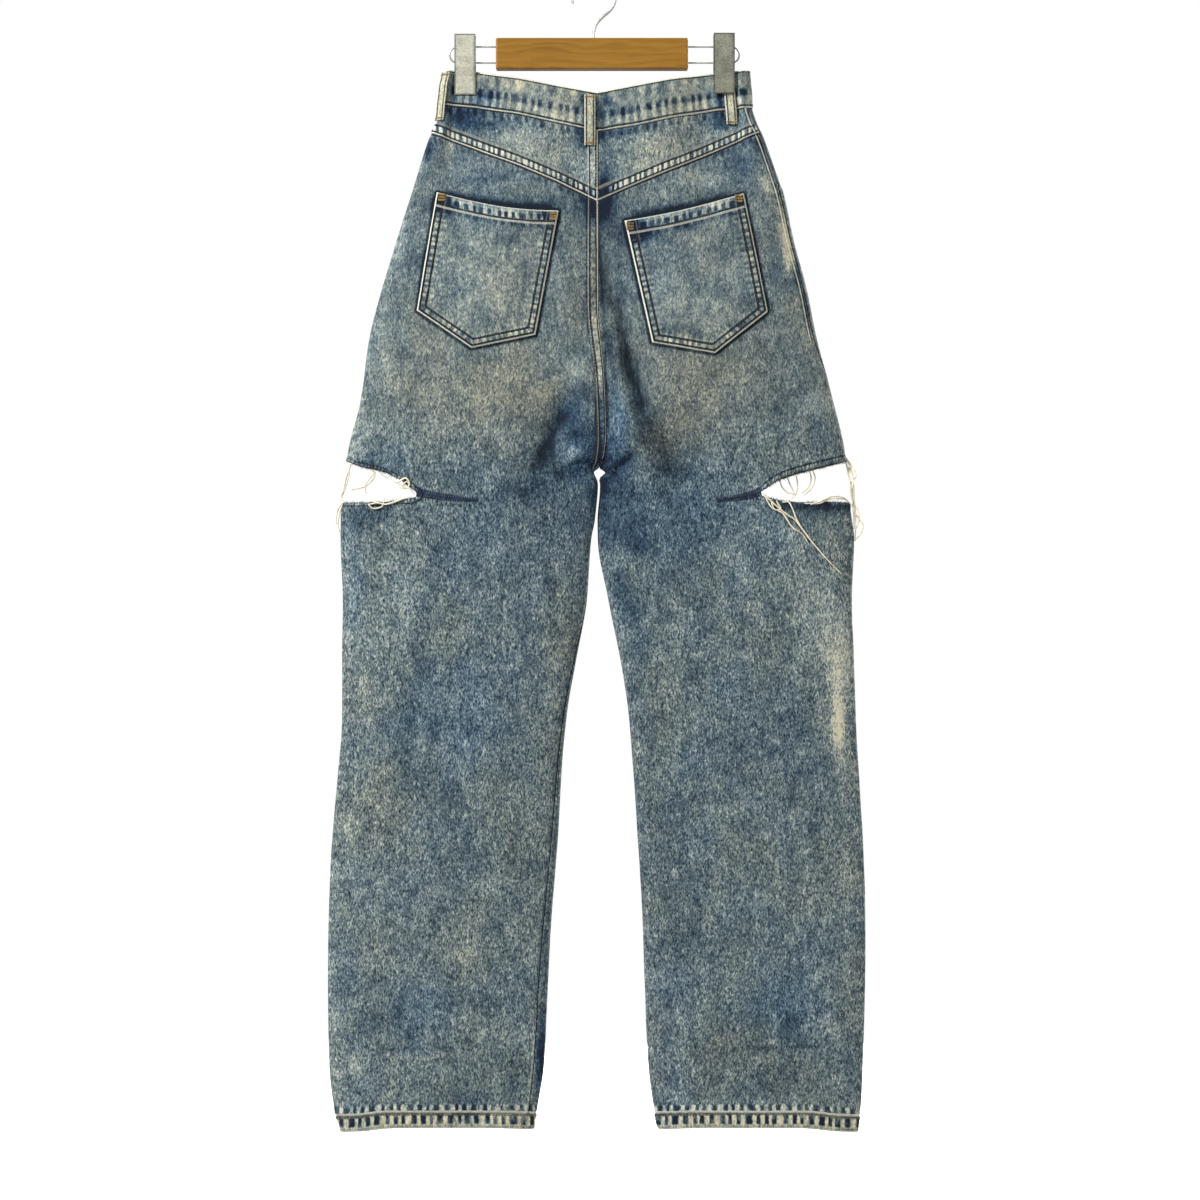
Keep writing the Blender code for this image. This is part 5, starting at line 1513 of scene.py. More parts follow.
@dataclass
class LegPanel(Part):
    """One leg panel from the seat to the hem, open where the thigh is slashed."""

    side: Side
    face: Face
    columns: int = 96
    tip_column: int = 37
    hip_rows: int = 86
    dart_rows: int = 2
    leg_rows: int = 182
    hem_height: float = 15.5
    scoop_start: float = 57.0
    scoop_drop: float = 78.0
    scoop_lip: float = 1.8
    scoop_run: float = 12.0
    fell_width: float = 10.4
    fell_rise: float = 0.9
    rim_width: float = 6.5
    rim_rise: float = 0.9
    cut: Cut = Cut((0.33, 1.0), "hung", "waistband", 0.26)

    def top(self, x: Array) -> Array:
        """Upper edge: the yoke seam, or the waist seam with the pocket's scoop."""
        if self.face is Face.BACK:
            return FORM.waist_line("yoke", Face.BACK, x)
        beyond = self.side * x - self.scoop_start
        past = np.clip(beyond / (FORM.waist_half - self.scoop_start), 0.0, 1.0)
        lip = self.scoop_lip * ease((beyond + self.scoop_run) / self.scoop_run)
        scoop = np.maximum(lip, self.scoop_drop * np.sqrt(1 - (1 - past) ** 2))
        return FORM.waist_line("seam", Face.FRONT, x) - scoop

    def past_tip(self) -> Array:
        """Each column's share of the way from the slash's tip to the centre."""
        last = self.columns - 1
        return np.clip((np.arange(self.columns) - self.tip_column) / (last - self.tip_column), 0.0, 1.0)

    def angles(self, height: Array) -> Array:
        """Angles of the grid's columns at their heights, with one column on the slash's tip."""
        tip = FORM.tip(self.side)
        middle = float(FORM.angle_at(self.side, self.face, tip.x, tip.height))
        first, last = FORM.across(self.side, self.face, height)
        place = np.arange(self.columns)
        near = first + (middle - first) * np.clip(place / self.tip_column, 0.0, 1.0)
        return np.where(place < self.tip_column, near, middle + (last - middle) * self.past_tip())

    def foot(self, angle: Array) -> Array:
        """Heights where the panel meets its hem."""
        return FORM.hem_rise(angle) + self.hem_height

    def heights(self, x: Array) -> Array:
        """Heights of the grid from the x of its points."""
        past = self.past_tip() ** 1.6
        upper, lower = FORM.slash_edges(self.side, x)
        upper = upper + (CROTCH - upper) * past
        lower = lower + (CROTCH - 4.5 - lower) * past
        foot = self.foot(self.angles(np.full(x.shape, self.hem_height)))
        made = np.empty_like(x)
        start = 0
        for above, below, rows in ((self.top(x), upper, self.hip_rows), (upper, lower, self.dart_rows),
                                   (lower, foot, self.leg_rows)):
            here = slice(start, start + rows + 1)
            t = np.linspace(0.0, 1.0, rows + 1)[:, None]
            made[here] = above[here] * (1 - t) + below[here] * t
            start += rows
        return made

    def cloth(self) -> Cloth:
        """Lays the panel out."""
        side, face = self.side, self.face
        shape = (self.hip_rows + self.dart_rows + self.leg_rows + 1, self.columns)
        lay = Lay(side, face, self.angles, self.heights, 700.0, shape)
        x, height, run, centre_off = lay.x, lay.height, lay.run, lay.centre_off
        upper, lower = FORM.slash_edges(side, x)
        tip = FORM.tip(side)
        on_hip = np.arange(shape[0])[:, None] <= self.hip_rows
        column_at = np.arange(shape[1])[None]
        beside = column_at < self.tip_column
        cut_off = np.maximum(np.where(on_hip, height - upper, lower - height), 0.0)
        narrow = 1 + ease((self.tip_column - column_at) / 6) * (side is Side.LEFT)
        slash_off = np.where(beside, cut_off * narrow, np.hypot(x - tip.x, height - tip.height))
        frayed = ~on_hip & (side is Side.RIGHT)
        top_off = self.top(x) - height
        foot_off = height - self.foot(lay.angle)
        extra = edge_dip(top_off) + edge_dip(foot_off, 1.2, 0.6) + edge_dip(run, 1.6, 0.7)
        extra = extra + raised(slash_off, self.rim_width, self.rim_rise) * (1 - 0.3 * (slash_off < 0.5))
        extra = extra + 0.28 * rope_wave(x, 9.5) * raised(foot_off, 9.0, 1.0, 6.0)
        extra = extra + 0.55 * raised(np.abs(foot_off - 2.0), 1.2, 1.0, 1.6)
        if self.felled():
            seam = raised(centre_off, self.fell_width, self.fell_rise) * (height > CROTCH - 8)
            extra = extra + seam + 0.14 * rope_wave(height, 6.5) * seam
        grid = lay.dressed(extra + edge_dip(centre_off, 1.4, 0.9))
        keep = np.ones((shape[0] - 1, shape[1] - 1), dtype=bool)
        keep[self.hip_rows:self.hip_rows + self.dart_rows, :self.tip_column] = False
        # Distance from a back pocket's edges, for the painted shadow that it casts on the panel.
        pocket_edge = pair(height, np.full(x.shape, 99.0))
        if face is Face.BACK:
            pocket_edge = BackPocket(side).outside(x, height)
        marked = (side is Side.RIGHT) & (face is Face.BACK) & (height > 788)
        nodes = [f"{face.value}_{part}_{side.word}" for part in ("hip", "leg")]
        return Cloth(f"{face.value}_panel_{side.word}", nodes, self.cut, grid, lay.out, dict(
            wash=lay.wash(), top_seam=pair(x, top_off), centre_seam=pair(height, centre_off),
            felled_seam=pair(height, centre_off + FAR_OFF * (height < CROTCH - 4)),
            side_seam=pair(height, run), outer_fell=pair(height, run + FAR_OFF * ~marked),
            foot_seam=pair(x, foot_off), slash_edge=pair(x, slash_off + 20 * (frayed & beside)),
            pocket_edge=pocket_edge,
        ), keep=keep)

    def felled(self) -> bool:
        """Whether the centre seam's allowance lies under this panel's edge."""
        return self.side is Side.LEFT and self.face is Face.BACK

    def sew(self, sewing: Sewing) -> None:
        """Stitches along the felled centre seam."""
        if not self.felled():
            return
        top = float(FORM.waist_line("yoke", Face.BACK, np.array(0.0)))
        height = np.linspace(top - 2.0, CROTCH + 5.0, 150)
        for off in (1.7, self.fell_width - 1.6):
            x = FORM.inner(self.side, height) - off
            sewing.top.seam(self.side, self.face, x, height, self.fell_rise * 0.92)


@dataclass
class Yoke(Part):
    """The back yoke, its lower edge felled over the leg panel."""

    side: Side
    columns: int = 108
    rows: int = 44
    fell_width: float = 10.6
    fell_rise: float = 1.0
    ladder_pitch: float = 5.6
    cut: Cut = Cut((0.175, 0.075), "hung", "waistband", 0.0095)

    def angles(self, height: Array) -> Array:
        """Angles of the grid's columns at their heights."""
        first, last = FORM.across(self.side, Face.BACK, height)
        return first + (last - first) * np.linspace(0.0, 1.0, self.columns)

    def heights(self, x: Array) -> Array:
        """Heights of the grid from the x of its points."""
        t = np.linspace(0.0, 1.0, self.rows)[:, None]
        return FORM.waist_line("seam", Face.BACK, x) * (1 - t) + FORM.waist_line("yoke", Face.BACK, x) * t

    def cloth(self) -> Cloth:
        """Lays the yoke out."""
        is_right = self.side is Side.RIGHT
        lay = Lay(self.side, Face.BACK, self.angles, self.heights, 980.0, (self.rows, self.columns))
        x, height, run, centre_off = lay.x, lay.height, lay.run, lay.centre_off
        foot_off = height - FORM.waist_line("yoke", Face.BACK, x)
        top_off = FORM.waist_line("seam", Face.BACK, x) - height
        fell = raised(foot_off, self.fell_width, self.fell_rise)
        extra = fell + 0.2 * rope_wave(x, self.ladder_pitch) * fell
        extra = extra + edge_dip(foot_off, 1.5, 1.2) + edge_dip(top_off, 1.5, 0.5)
        extra = extra + 0.25 * rope_wave(x, 8.5) * raised(top_off, 5.0, 1.0, 5.0)
        if not is_right:
            extra = np.maximum(extra, raised(centre_off, LegPanel.fell_width, LegPanel.fell_rise))
        grid = lay.dressed(extra + edge_dip(centre_off, 1.4, 0.9) + edge_dip(run, 1.6, 0.7))
        word = self.side.word
        return Cloth(f"yoke_panel_{word}", [f"yoke_{word}"], self.cut, grid, lay.out, dict(
            wash=lay.wash(), foot_seam=pair(x, foot_off), top_seam=pair(x, top_off),
            centre_seam=pair(height, centre_off), centre_fell=pair(height, centre_off + FAR_OFF * is_right),
            side_seam=pair(height, run), outer_fell=pair(height, run + FAR_OFF * (not is_right)),
        ))

    def sew(self, sewing: Sewing) -> None:
        """Two rows along the yoke seam, and the centre seam's rows up to the waistband."""
        x = np.linspace(3.0, 164.0 if self.side is Side.RIGHT else 163.0, 120) * self.side
        for off in (1.8, self.fell_width - 1.5):
            height = FORM.waist_line("yoke", Face.BACK, x) + off
            inside = np.abs(x) < np.abs(FORM.outer(self.side, height)) - 3.5
            sewing.top.seam(self.side, Face.BACK, x[inside], height[inside], self.fell_rise)
        if self.side is Side.LEFT:
            height = np.linspace(FORM.waist_line("seam", Face.BACK, np.array(-4.0)) - 2, 938.0, 40)
            for off in (1.7, 8.8):
                sewing.top.seam(self.side, Face.BACK, FORM.inner(self.side, height) - off, height, 0.85)


@dataclass
class Waistband(Part):
    """The doubled waistband, one strip all round with a slit at the front overlap."""

    rows: int = 28
    columns: int = 150
    wall: float = 2.4
    proud: float = 0.5
    depth: float = 38.0
    slit_share: float = 0.22
    slit: float = 0.004
    cut: Cut = Cut((0.68, 0.04), "gathered", "clip_left_back", 0.0258)

    def stretch(self, side: Side, face: Face, begin: float, end: float) -> Lay:
        """The grid of one stretch.

        Args:
            side: which half of the waist.
            face: the face.
            begin: where it begins, as a share of the way from the side seam to the centre.
            end: where it ends.

        Returns:
            The grid.
        """
        u = np.linspace(begin, end, max(8, int(self.columns * abs(end - begin))))
        t = np.linspace(0.0, 1.0, self.rows)[:, None]

        def angles(height: Array) -> Array:
            """Angles of the columns at their heights."""
            first, last = FORM.across(side, face, height)
            return first + (last - first) * u

        def heights(x: Array) -> Array:
            """Heights of the rows from the x of their points."""
            return FORM.waist_line("top", face, x) * (1 - t) + FORM.waist_line("seam", face, x) * t

        return Lay(side, face, angles, heights, 1030.0, (self.rows, len(u)))

    def cloth(self) -> Cloth:
        """Lays the band out."""
        stretches = (
            (Side.RIGHT, Face.FRONT, 1.0 - self.slit_share, 0.0),
            (Side.RIGHT, Face.BACK, 0.0, 1.0),
            (Side.LEFT, Face.BACK, 1.0, 0.0),
            (Side.LEFT, Face.FRONT, 0.0, 1.0),
            (Side.RIGHT, Face.FRONT, 1.0, 1.0 - self.slit_share + self.slit),
        )
        lays = [self.stretch(*stretch) for stretch in stretches]

        def joined(parts: Sequence[Array]) -> Array:
            """The stretches' columns, each stretch starting where the one before it ends."""
            return np.concatenate([parts[0], *(part[:, 1:] for part in parts[1:])], axis=1)

        plain, out = joined([lay.plain for lay in lays]), joined([lay.out for lay in lays])
        is_back = joined([np.full(lay.x.shape, lay.face is Face.BACK) for lay in lays])
        x, height = plain[..., 0], plain[..., 2]
        along = np.broadcast_to(across_rows(plain)[self.rows // 2], x.shape)
        top, foot = (
            np.where(is_back, FORM.waist_line(name, Face.BACK, x), FORM.waist_line(name, Face.FRONT, x))
            for name in ("top", "seam")
        )
        top_off, foot_off = top - height, height - foot
        free = 1 - FORM.press(x, height)
        extra = 0.35 * FORM.ripple.at(along / 34, height / 30 + 3) * free
        extra = extra + 0.3 * rope_wave(along, 9.0) * raised(foot_off, 10.0, 1.0, 8.0) * free
        extra = extra + 0.18 * rope_wave(along + 40.0, 12.0) * raised(top_off, 5.0, 1.0, 5.0) * free
        extra = extra + edge_dip(top_off, 1.8, 0.9) + edge_dip(foot_off, 1.4, 0.9)
        bulge = np.sin(math.pi * np.clip(foot_off / self.depth, 0, 1)) * 0.5 * free
        lean = trough(Fold(Face.BACK, 6.5, 1040, 7.5, 992, 4.5, 2.2), x, height, 0.2) * is_back
        grid = plain + out * (self.proud + extra + bulge - lean)[..., None]
        ends = np.arange(grid.shape[1])
        return Cloth("waistband_strip", ["waistband"], self.cut, grid, out, dict(
            wash=wash(is_back, x, height), top_edge=pair(along, top_off), foot_seam=pair(along, foot_off),
            end_edge=pair(height, np.minimum(ends, ends[::-1]) * 1.7),
        ), self.wall)

    def sew(self, sewing: Sewing) -> None:
        """A row along each edge, all round."""
        for face in Face:
            for side in Side:
                x = np.linspace(1.0, 148.0, 100) * side
                for name, off in (("top", -2.0), ("seam", 2.7)):
                    height = FORM.waist_line(name, face, x) + off
                    inside = np.abs(x) < np.abs(FORM.outer(side, height)) - 1.0
                    level = height[inside]
                    angle = FORM.angle_at(side, face, x[inside], level)
                    out = FORM.normal(side, angle, level)
                    sewing.top.row(FORM.surface(side, angle, level) + out * (self.proud + 0.1), out, 0.1)


@dataclass
class PocketFacing(Part):
    """The cloth seen in the front pocket's opening, set in behind the scooped edge."""

    side: Side
    columns: int = 46
    rows: int = 34
    inset: float = 0.8
    tuck: float = 1.5
    cut: Cut = Cut((0.105, 0.085), "hung", "waistband", 0.0062)

    def angles(self, height: Array) -> Array:
        """Angles of the grid's columns at their heights."""
        first = FORM.seam_angle(self.side, True, height)
        last = FORM.angle_at(self.side, Face.FRONT, self.side * LegPanel.scoop_start + 0 * height, height)
        return first + (last - first) * np.linspace(0.0, 1.0, self.columns)

    def heights(self, x: Array) -> Array:
        """Heights of the grid from the x of its points."""
        t = np.linspace(0.0, 1.0, self.rows)[:, None]
        scoop = LegPanel(self.side, Face.FRONT).top(x)
        return FORM.waist_line("seam", Face.FRONT, x) * (1 - t) + (scoop - self.tuck) * t

    def cloth(self) -> Cloth:
        """Lays the facing out."""
        lay = Lay(self.side, Face.FRONT, self.angles, self.heights, 980.0, (self.rows, self.columns))
        x, height, word = lay.x, lay.height, self.side.word
        scoop = LegPanel(self.side, Face.FRONT).top(x)
        grid = lay.dressed(-self.inset)
        return Cloth(f"scoop_facing_{word}", [f"pocket_facing_{word}"], self.cut, grid, lay.out, dict(
            wash=lay.wash(), scoop=pair(x, height - scoop),
        ))


@dataclass
class BackPocket(Part):
    """A patch pocket with a pointed foot and a turned hem."""

    side: Side
    columns: int = 84
    rows: int = 100
    gap: float = 0.45
    rim: float = 8.6
    rim_rise: float = 0.45
    hem: float = 12.2
    hem_rise: float = 0.7
    puff: float = 1.4

    def corners(self) -> tuple[Corner, ...]:
        """Corners from the top inner one round to the bottom inner one."""
        if self.side is Side.LEFT:
            rows = (-38, 915.2), (-159.4, 934.4), (-178.8, 816.2), (-124.4, 778.6), (-61, 791.8)
        else:
            rows = (27.4, 905.2), (146, 933), (169.6, 815.2), (117, 773.6), (54.8, 784.2)
        return table(Corner, *rows)

    def edges(self) -> list[tuple[Corner, Corner]]:
        """The sewn edges, from the top outer corner down round the foot to the top inner one."""
        top_in, *rest = self.corners()
        return list(zip(rest, [*rest[1:], top_in]))

    def edge_off(self, x: Array, height: Array) -> tuple[Array, Array]:
        """Distance along and from the nearest sewn edge."""
        best = np.full(x.shape, 1e6)
        along = np.zeros(x.shape)
        before = 0.0
        for one, two in self.edges():
            run = np.array((two.x - one.x, two.height - one.height))
            length = float(np.linalg.norm(run))
            t = np.clip(((x - one.x) * run[0] + (height - one.height) * run[1]) / length ** 2, 0, 1)
            off = np.hypot(x - one.x - run[0] * t, height - one.height - run[1] * t)
            along = np.where(off < best, before + t * length, along)
            best = np.minimum(best, off)
            before += length
        return along, best

    def mouth(self, x: Array) -> Array:
        """Height of the mouth's edge, which hangs down in its middle."""
        top_in, top_out = self.corners()[:2]
        sag = 5.0 if self.side is Side.LEFT else 2.8
        t = np.clip((x - top_in.x) / (top_out.x - top_in.x), 0.0, 1.0)
        return top_in.height + (top_out.height - top_in.height) * t - sag * np.sin(math.pi * t)

    def outside(self, x: Array, height: Array) -> Array:
        """(along, off) attribute of the panel round the pocket, negative under it, for the pocket's painted
        shadow on the panel.
        """
        covered = height < self.mouth(x)
        for one, two in self.edges():
            turn = (two.x - one.x) * (height - one.height) - (two.height - one.height) * (x - one.x)
            covered = covered & (turn * -self.side >= 0)
        along, off = self.edge_off(x, height)
        top_in, top_out = self.corners()[:2]
        between = (x - top_in.x) * (x - top_out.x) < 0
        off = np.where(between, np.minimum(off, np.abs(height - self.mouth(x))), off)
        return pair(along, np.where(covered, -off, off))

    def puffed(self, u: Array, mouth_off: Array) -> Array:
        """How far the pocket's cloth stands out under its mouth."""
        return self.puff * np.sin(math.pi * u) ** 1.2 * np.exp(-((mouth_off - 20) / 46) ** 2)

    def cloth(self) -> Cloth:
        """Lays the pocket out."""
        top_in, top_out, foot_out, tip, foot_in = self.corners()
        split = (tip.x - foot_in.x) / (foot_out.x - foot_in.x)
        u = np.linspace(0.0, 1.0, self.columns)[None]
        v = np.linspace(0.0, 1.0, self.rows)[:, None]
        top_x = top_in.x + (top_out.x - top_in.x) * u
        foot_x = foot_in.x + (foot_out.x - foot_in.x) * u
        foot = np.interp(u, (0.0, split, 1.0), (foot_in.height, tip.height, foot_out.height))
        x = top_x * (1 - v) + foot_x * v
        height = self.mouth(top_x) * (1 - v) + foot * v
        along, off = self.edge_off(x, height)
        mouth_off = self.mouth(top_x) - height
        extra = WALL + self.gap + raised(off, self.rim, self.rim_rise)
        extra = extra + 0.2 * rope_wave(along, 6.8) * raised(off, 7.5, 1.0, 3.0)
        extra = extra + raised(mouth_off, self.hem, self.hem_rise)
        extra = extra + 0.22 * rope_wave(x, 8.0) * raised(mouth_off, 10.5, 1.0, 3.0)
        extra = extra + edge_dip(off, 1.5, 1.3) + edge_dip(mouth_off, 1.4, 0.5) + self.puffed(u, mouth_off)
        extra = extra + 0.4 * FORM.ripple.at(x / 16 + 5, height / 20)
        grid, out = FORM.dressed(self.side, Face.BACK, x, height, extra)
        word = self.side.word
        cut = Cut((0.13, 0.16), "laid", f"back_panel_{word}", 0.0168)
        return Cloth(f"patch_pocket_{word}", [f"back_pocket_{word}"], cut, grid, out, dict(
            wash=wash(Face.BACK, x, height) + self.smudges(x, height), rim=pair(along, off),
            mouth=pair(x, mouth_off),
        ))

    def smudges(self, x: Array, height: Array) -> Array:
        """Navy left at the pocket's corners and under its hem, and its paler middle."""
        top_in, top_out, foot_out, tip, foot_in = self.corners()
        middle_x = (tip.x + top_in.x + top_out.x) / 3
        tone = 0.07 * np.exp(-(((x - middle_x) / 34) ** 2) - ((height - 852) / 40) ** 2)
        for corner, reach, amount in ((top_in, 15, -0.60), (top_out, 15, -0.58), (foot_out, 18, -0.20),
                                      (foot_in, 13, -0.14), (tip, 14, -0.10)):
            tone = tone + amount * np.exp(-((x - corner.x) ** 2 + (height - corner.height) ** 2) / reach ** 2)
        return pair(tone, 0.0)

    def inset_path(self, off: float) -> Array:
        """The sewn edges' line moved in by a distance, mitred at its corners."""
        lines = []
        for one, two in self.edges():
            one, two = np.array(one), np.array(two)
            way = unit(two - one)
            inward = np.array((-way[1], way[0])) * -self.side
            lines.append((one + inward * off, way, np.linalg.norm(two - one)))
        path = [lines[0][0] + lines[0][1] * 2.0]
        for (here, way, _), (after, turn, _) in zip(lines[:-1], lines[1:]):
            path.append(here + way * (cross(after - here, turn) / cross(way, turn)))
        here, way, length = lines[-1]
        path.append(here + way * (length - 2.0))
        fine = []
        for one, two in zip(path[:-1], path[1:]):
            steps = max(2, int(np.linalg.norm(two - one) / 2.0))
            fine.extend(one + (two - one) * t for t in np.arange(steps) / steps)
        return np.array([*fine, path[-1]])

    def sew(self, sewing: Sewing) -> None:
        """Two rows round the sewn edges, one along the hem, and a tack at each top corner."""
        lift = WALL + self.gap + self.rim_rise
        for off in (1.9, 8.1):
            x, height = self.inset_path(off).T
            sewing.pale.seam(self.side, Face.BACK, x, height, lift + 0.1)
        top_in, top_out = self.corners()[:2]
        u = np.linspace(0.0, 1.0, 70)[5:-5]
        x = top_in.x + (top_out.x - top_in.x) * u
        off = WALL + self.gap + self.hem_rise * 0.6 + self.puffed(u, self.hem)
        sewing.top.seam(self.side, Face.BACK, x, self.mouth(x) - self.hem + 0.6, off)
        for corner, inward in ((top_in, self.side), (top_out, -self.side)):
            for drop in (2.9, 5.6, 8.3):
                x, height = corner.x + inward * 5.4, corner.height - drop
                centre, out = FORM.dressed(self.side, Face.BACK, x, height, lift + self.hem_rise + 0.5)
                sewing.tacks.tack(centre, np.array((1.0, 0.0, 0.0)), out, 6.8, 2.5)


def cross(one: Array, two: Array) -> float:
    """The cross product of two flat vectors."""
    return one[0] * two[1] - one[1] * two[0]


def wrapped(turn: Array) -> Array:
    """Angles of a whole turn as angles from -pi to pi."""
    return np.where(turn > math.pi, turn - TURN, turn)


@dataclass
class LegHem(Part):
    """The turned hem, a ring of doubled cloth, roped by wear."""

    side: Side
    around: int = 340
    rows: int = 15
    wall: float = 2.6
    proud: float = 0.6
    pitch: float = 9.5

    def cloth(self) -> Cloth:
        """Lays the ring out."""
        turn = np.linspace(0.0, TURN, self.around)
        angle = wrapped(turn - 0.18 * np.sin(2 * turn))
        bottom = FORM.hem_rise(angle)
        tall = LegPanel.hem_height
        t = np.linspace(0.0, 1.0, self.rows)[:, None]
        height = (bottom + tall) * (1 - t) + bottom * t
        angle = np.broadcast_to(angle, height.shape)
        plain = FORM.surface(self.side, angle, height)
        out = FORM.normal(self.side, angle, height)
        along = np.broadcast_to(across_rows(plain)[0], height.shape)
        top_off, foot_off = bottom + tall - height, height - bottom
        x = plain[..., 0]
        is_back = np.sin(angle) >= 0
        extra = self.proud + 0.38 * rope_wave(x, self.pitch) * raised(np.abs(top_off - 6.5), 4.5, 1.0, 3.0)
        extra = extra + edge_dip(foot_off, 2.2, 1.1) + edge_dip(top_off, 1.3, 0.7)
        relief = np.where(is_back, FORM.relief(Face.BACK, x, height), FORM.relief(Face.FRONT, x, height))
        grid = plain + out * (extra + relief * 0.6)[..., None]
        grid[..., 2] += 0.5 * FORM.ripple.at(along / 26, 4.5 + 0 * along) * t
        word = self.side.word
        cut = Cut((0.42, 0.017), "hung", f"back_panel_{word}", 0.0066)
        return Cloth(f"turned_hem_{word}", [f"hem_{word}"], cut, grid, out, dict(
            wash=wash(is_back, x, height), top_seam=pair(x, top_off), foot_edge=pair(x, foot_off),
        ), self.wall, closed=True)

    def sew(self, sewing: Sewing) -> None:
        """One row under the hem's upper edge, all round."""
        angle = wrapped(np.linspace(0.0, TURN, 260))
        height = FORM.hem_rise(angle) + LegPanel.hem_height - 1.9
        out = FORM.normal(self.side, angle, height)
        sewing.top.row(FORM.surface(self.side, angle, height) + out * (self.proud + 0.1), out, 0.05)


@dataclass
class FlyShield(Part):
    """The strip behind the centre front that carries the hidden closure."""

    width: float = 34.0
    length: float = 150.0
    tuck: float = 3.0
    behind: float = 2.7
    rows: int = 76
    columns: int = 18
    cut: Cut = Cut((0.034, 0.15), "hung", "front_panel_left", 0.005)

    def cloth(self) -> Cloth:
        """Lays the shield out."""
        top = float(FORM.waist_line("seam", Face.FRONT, np.array(0.0))) - self.tuck
        height, u = np.meshgrid(np.linspace(top, top - self.length, self.rows),
                                np.linspace(0.0, 1.0, self.columns), indexing="ij")
        x = FORM.inner(Side.LEFT, height) - 1.0 - self.width * (1 - u)
        grid, out = FORM.dressed(Side.LEFT, Face.FRONT, x, height, -self.behind)
        attributes = {"wash": wash(Face.FRONT, x, height)}
        return Cloth("fly_shield_strip", ["fly_shield"], self.cut, grid, out, attributes)

    def sew(self, sewing: Sewing) -> None:
        """The curved double row on the panel over the shield."""
        seam = float(FORM.waist_line("seam", Face.FRONT, np.array(-20.0)))
        for off in (0.0, 6.0):
            knots = ((-30 - off, -3), (-30 - off, -60), (-29 - off, -105),
                     (-20 - off * 0.8, -134 - off * 0.5), (-4, -148 - off))
            x, drop = through_points(knots, 70).T
            sewing.top.seam(Side.LEFT, Face.FRONT, x, seam + drop, 0.1)


class Feeler:
    """Feels how far finished pieces stand out along a direction."""

    START = 60.0

    def __init__(self, pieces: Sequence[Piece]) -> None:
        """Keeps a search tree of each piece to feel for."""
        self.trees = [
            BVHTree.FromPolygons([vertex.co for vertex in piece.data.vertices],
                                 [tuple(face.vertices) for face in piece.data.polygons])
            for piece in pieces
        ]

    def reach(self, place: Array, out: Array) -> float:
        """How far out the pieces stand at a place, in millimetres, or 0 where there is none."""
        start = Vector(to_frame(place + out * self.START))
        hits = [tree.ray_cast(start, Vector(-out), 2 * self.START * MM)[3] for tree in self.trees]
        found = [self.START - hit / MM for hit in hits if hit is not None]
        return max(found, default=0.0)


@dataclass
class BeltLoop:
    """A belt loop, tacked at both ends and standing off the waistband between them."""

    node: str
    face: Face
    x_top: float
    x_foot: float
    top: float
    foot: float
    flat_share: float = 0.0
    facing: float = 0.0
    width: float = 11.0
    wall: float = 1.5
    gap: float = 0.35
    bulge: float = 2.2
    stations: int = 46
    columns: int = 15
    cut: Cut = Cut((0.011, 0.055), "laid", "waistband_strip")

    def path(self, feeler: Feeler) -> tuple[Array, Array, Array]:
        """Lays the loop over what it holds.

        Args:
            feeler: feels for the pieces under it.

        Returns:
            Points along the middle of its outer side, the way out and the way across.
        """
        t = np.linspace(0.0, 1.0, self.stations)
        x = self.x_top + (self.x_foot - self.x_top) * t
        turn = math.radians(self.facing)
        out = np.array((math.copysign(math.sin(turn), self.x_top), self.face.way * math.cos(turn), 0.0))
        across = np.cross(out, (0.0, 0.0, 1.0))
        base = np.stack((x, 0 * x, self.top + (self.foot - self.top) * t), axis=-1)
        reach = np.array([
            max(feeler.reach(place + across * (part * self.width), out) for part in np.linspace(-0.5, 0.5, 7))
            for place in base
        ])
        padded = np.concatenate((reach[:1], reach, reach[-1:]))
        reach = np.maximum(reach, np.maximum(padded[:-2], padded[2:]) - 0.25)
        rise = self.bulge * ease((t - self.flat_share) / 0.3) * ease((1 - t) / 0.3)
        return base + out * (reach + self.gap + self.wall + rise)[:, None], out, across

    def build(self, feeler: Feeler, finish: Material, sewing: Sewing) -> None:
        """Makes the loop and its stitches.

        Args:
            feeler: feels for the pieces under it.
            finish: its cloth.
            sewing: where its stitches are gathered.
        """
        centres, out, across = self.path(feeler)
        u = np.linspace(-0.5, 0.5, self.columns)
        roll = -0.75 * np.abs(2 * u) ** 7
        grid = centres[:, None] + across * (u * self.width)[:, None] + out * roll[:, None]
        run = np.linspace(0.0, self.top - self.foot, self.stations)[:, None] + 0 * u
        outs = np.broadcast_to(out, grid.shape)
        edge = pair(run, self.width / 2 - np.abs(u * self.width))
        attributes = {"wash": np.zeros(grid.shape), "edge": edge}
        strap = Cloth(f"{self.node}_strap", [self.node], self.cut, grid, outs, attributes, self.wall)
        strap.build(finish, finish)
        for part in (-0.32, 0.32):
            line = centres[2:-2] + across * (part * self.width)
            sewing.top.row(line, np.tile(out, (len(line), 1)), 0.05)
        for end, way in ((1, 1), (-2, -1)):
            centre = centres[end] + unit(centres[end + way] - centres[end]) * 1.2
            sewing.tacks.tack(centre, across, out, self.width * 0.82, 1.9)


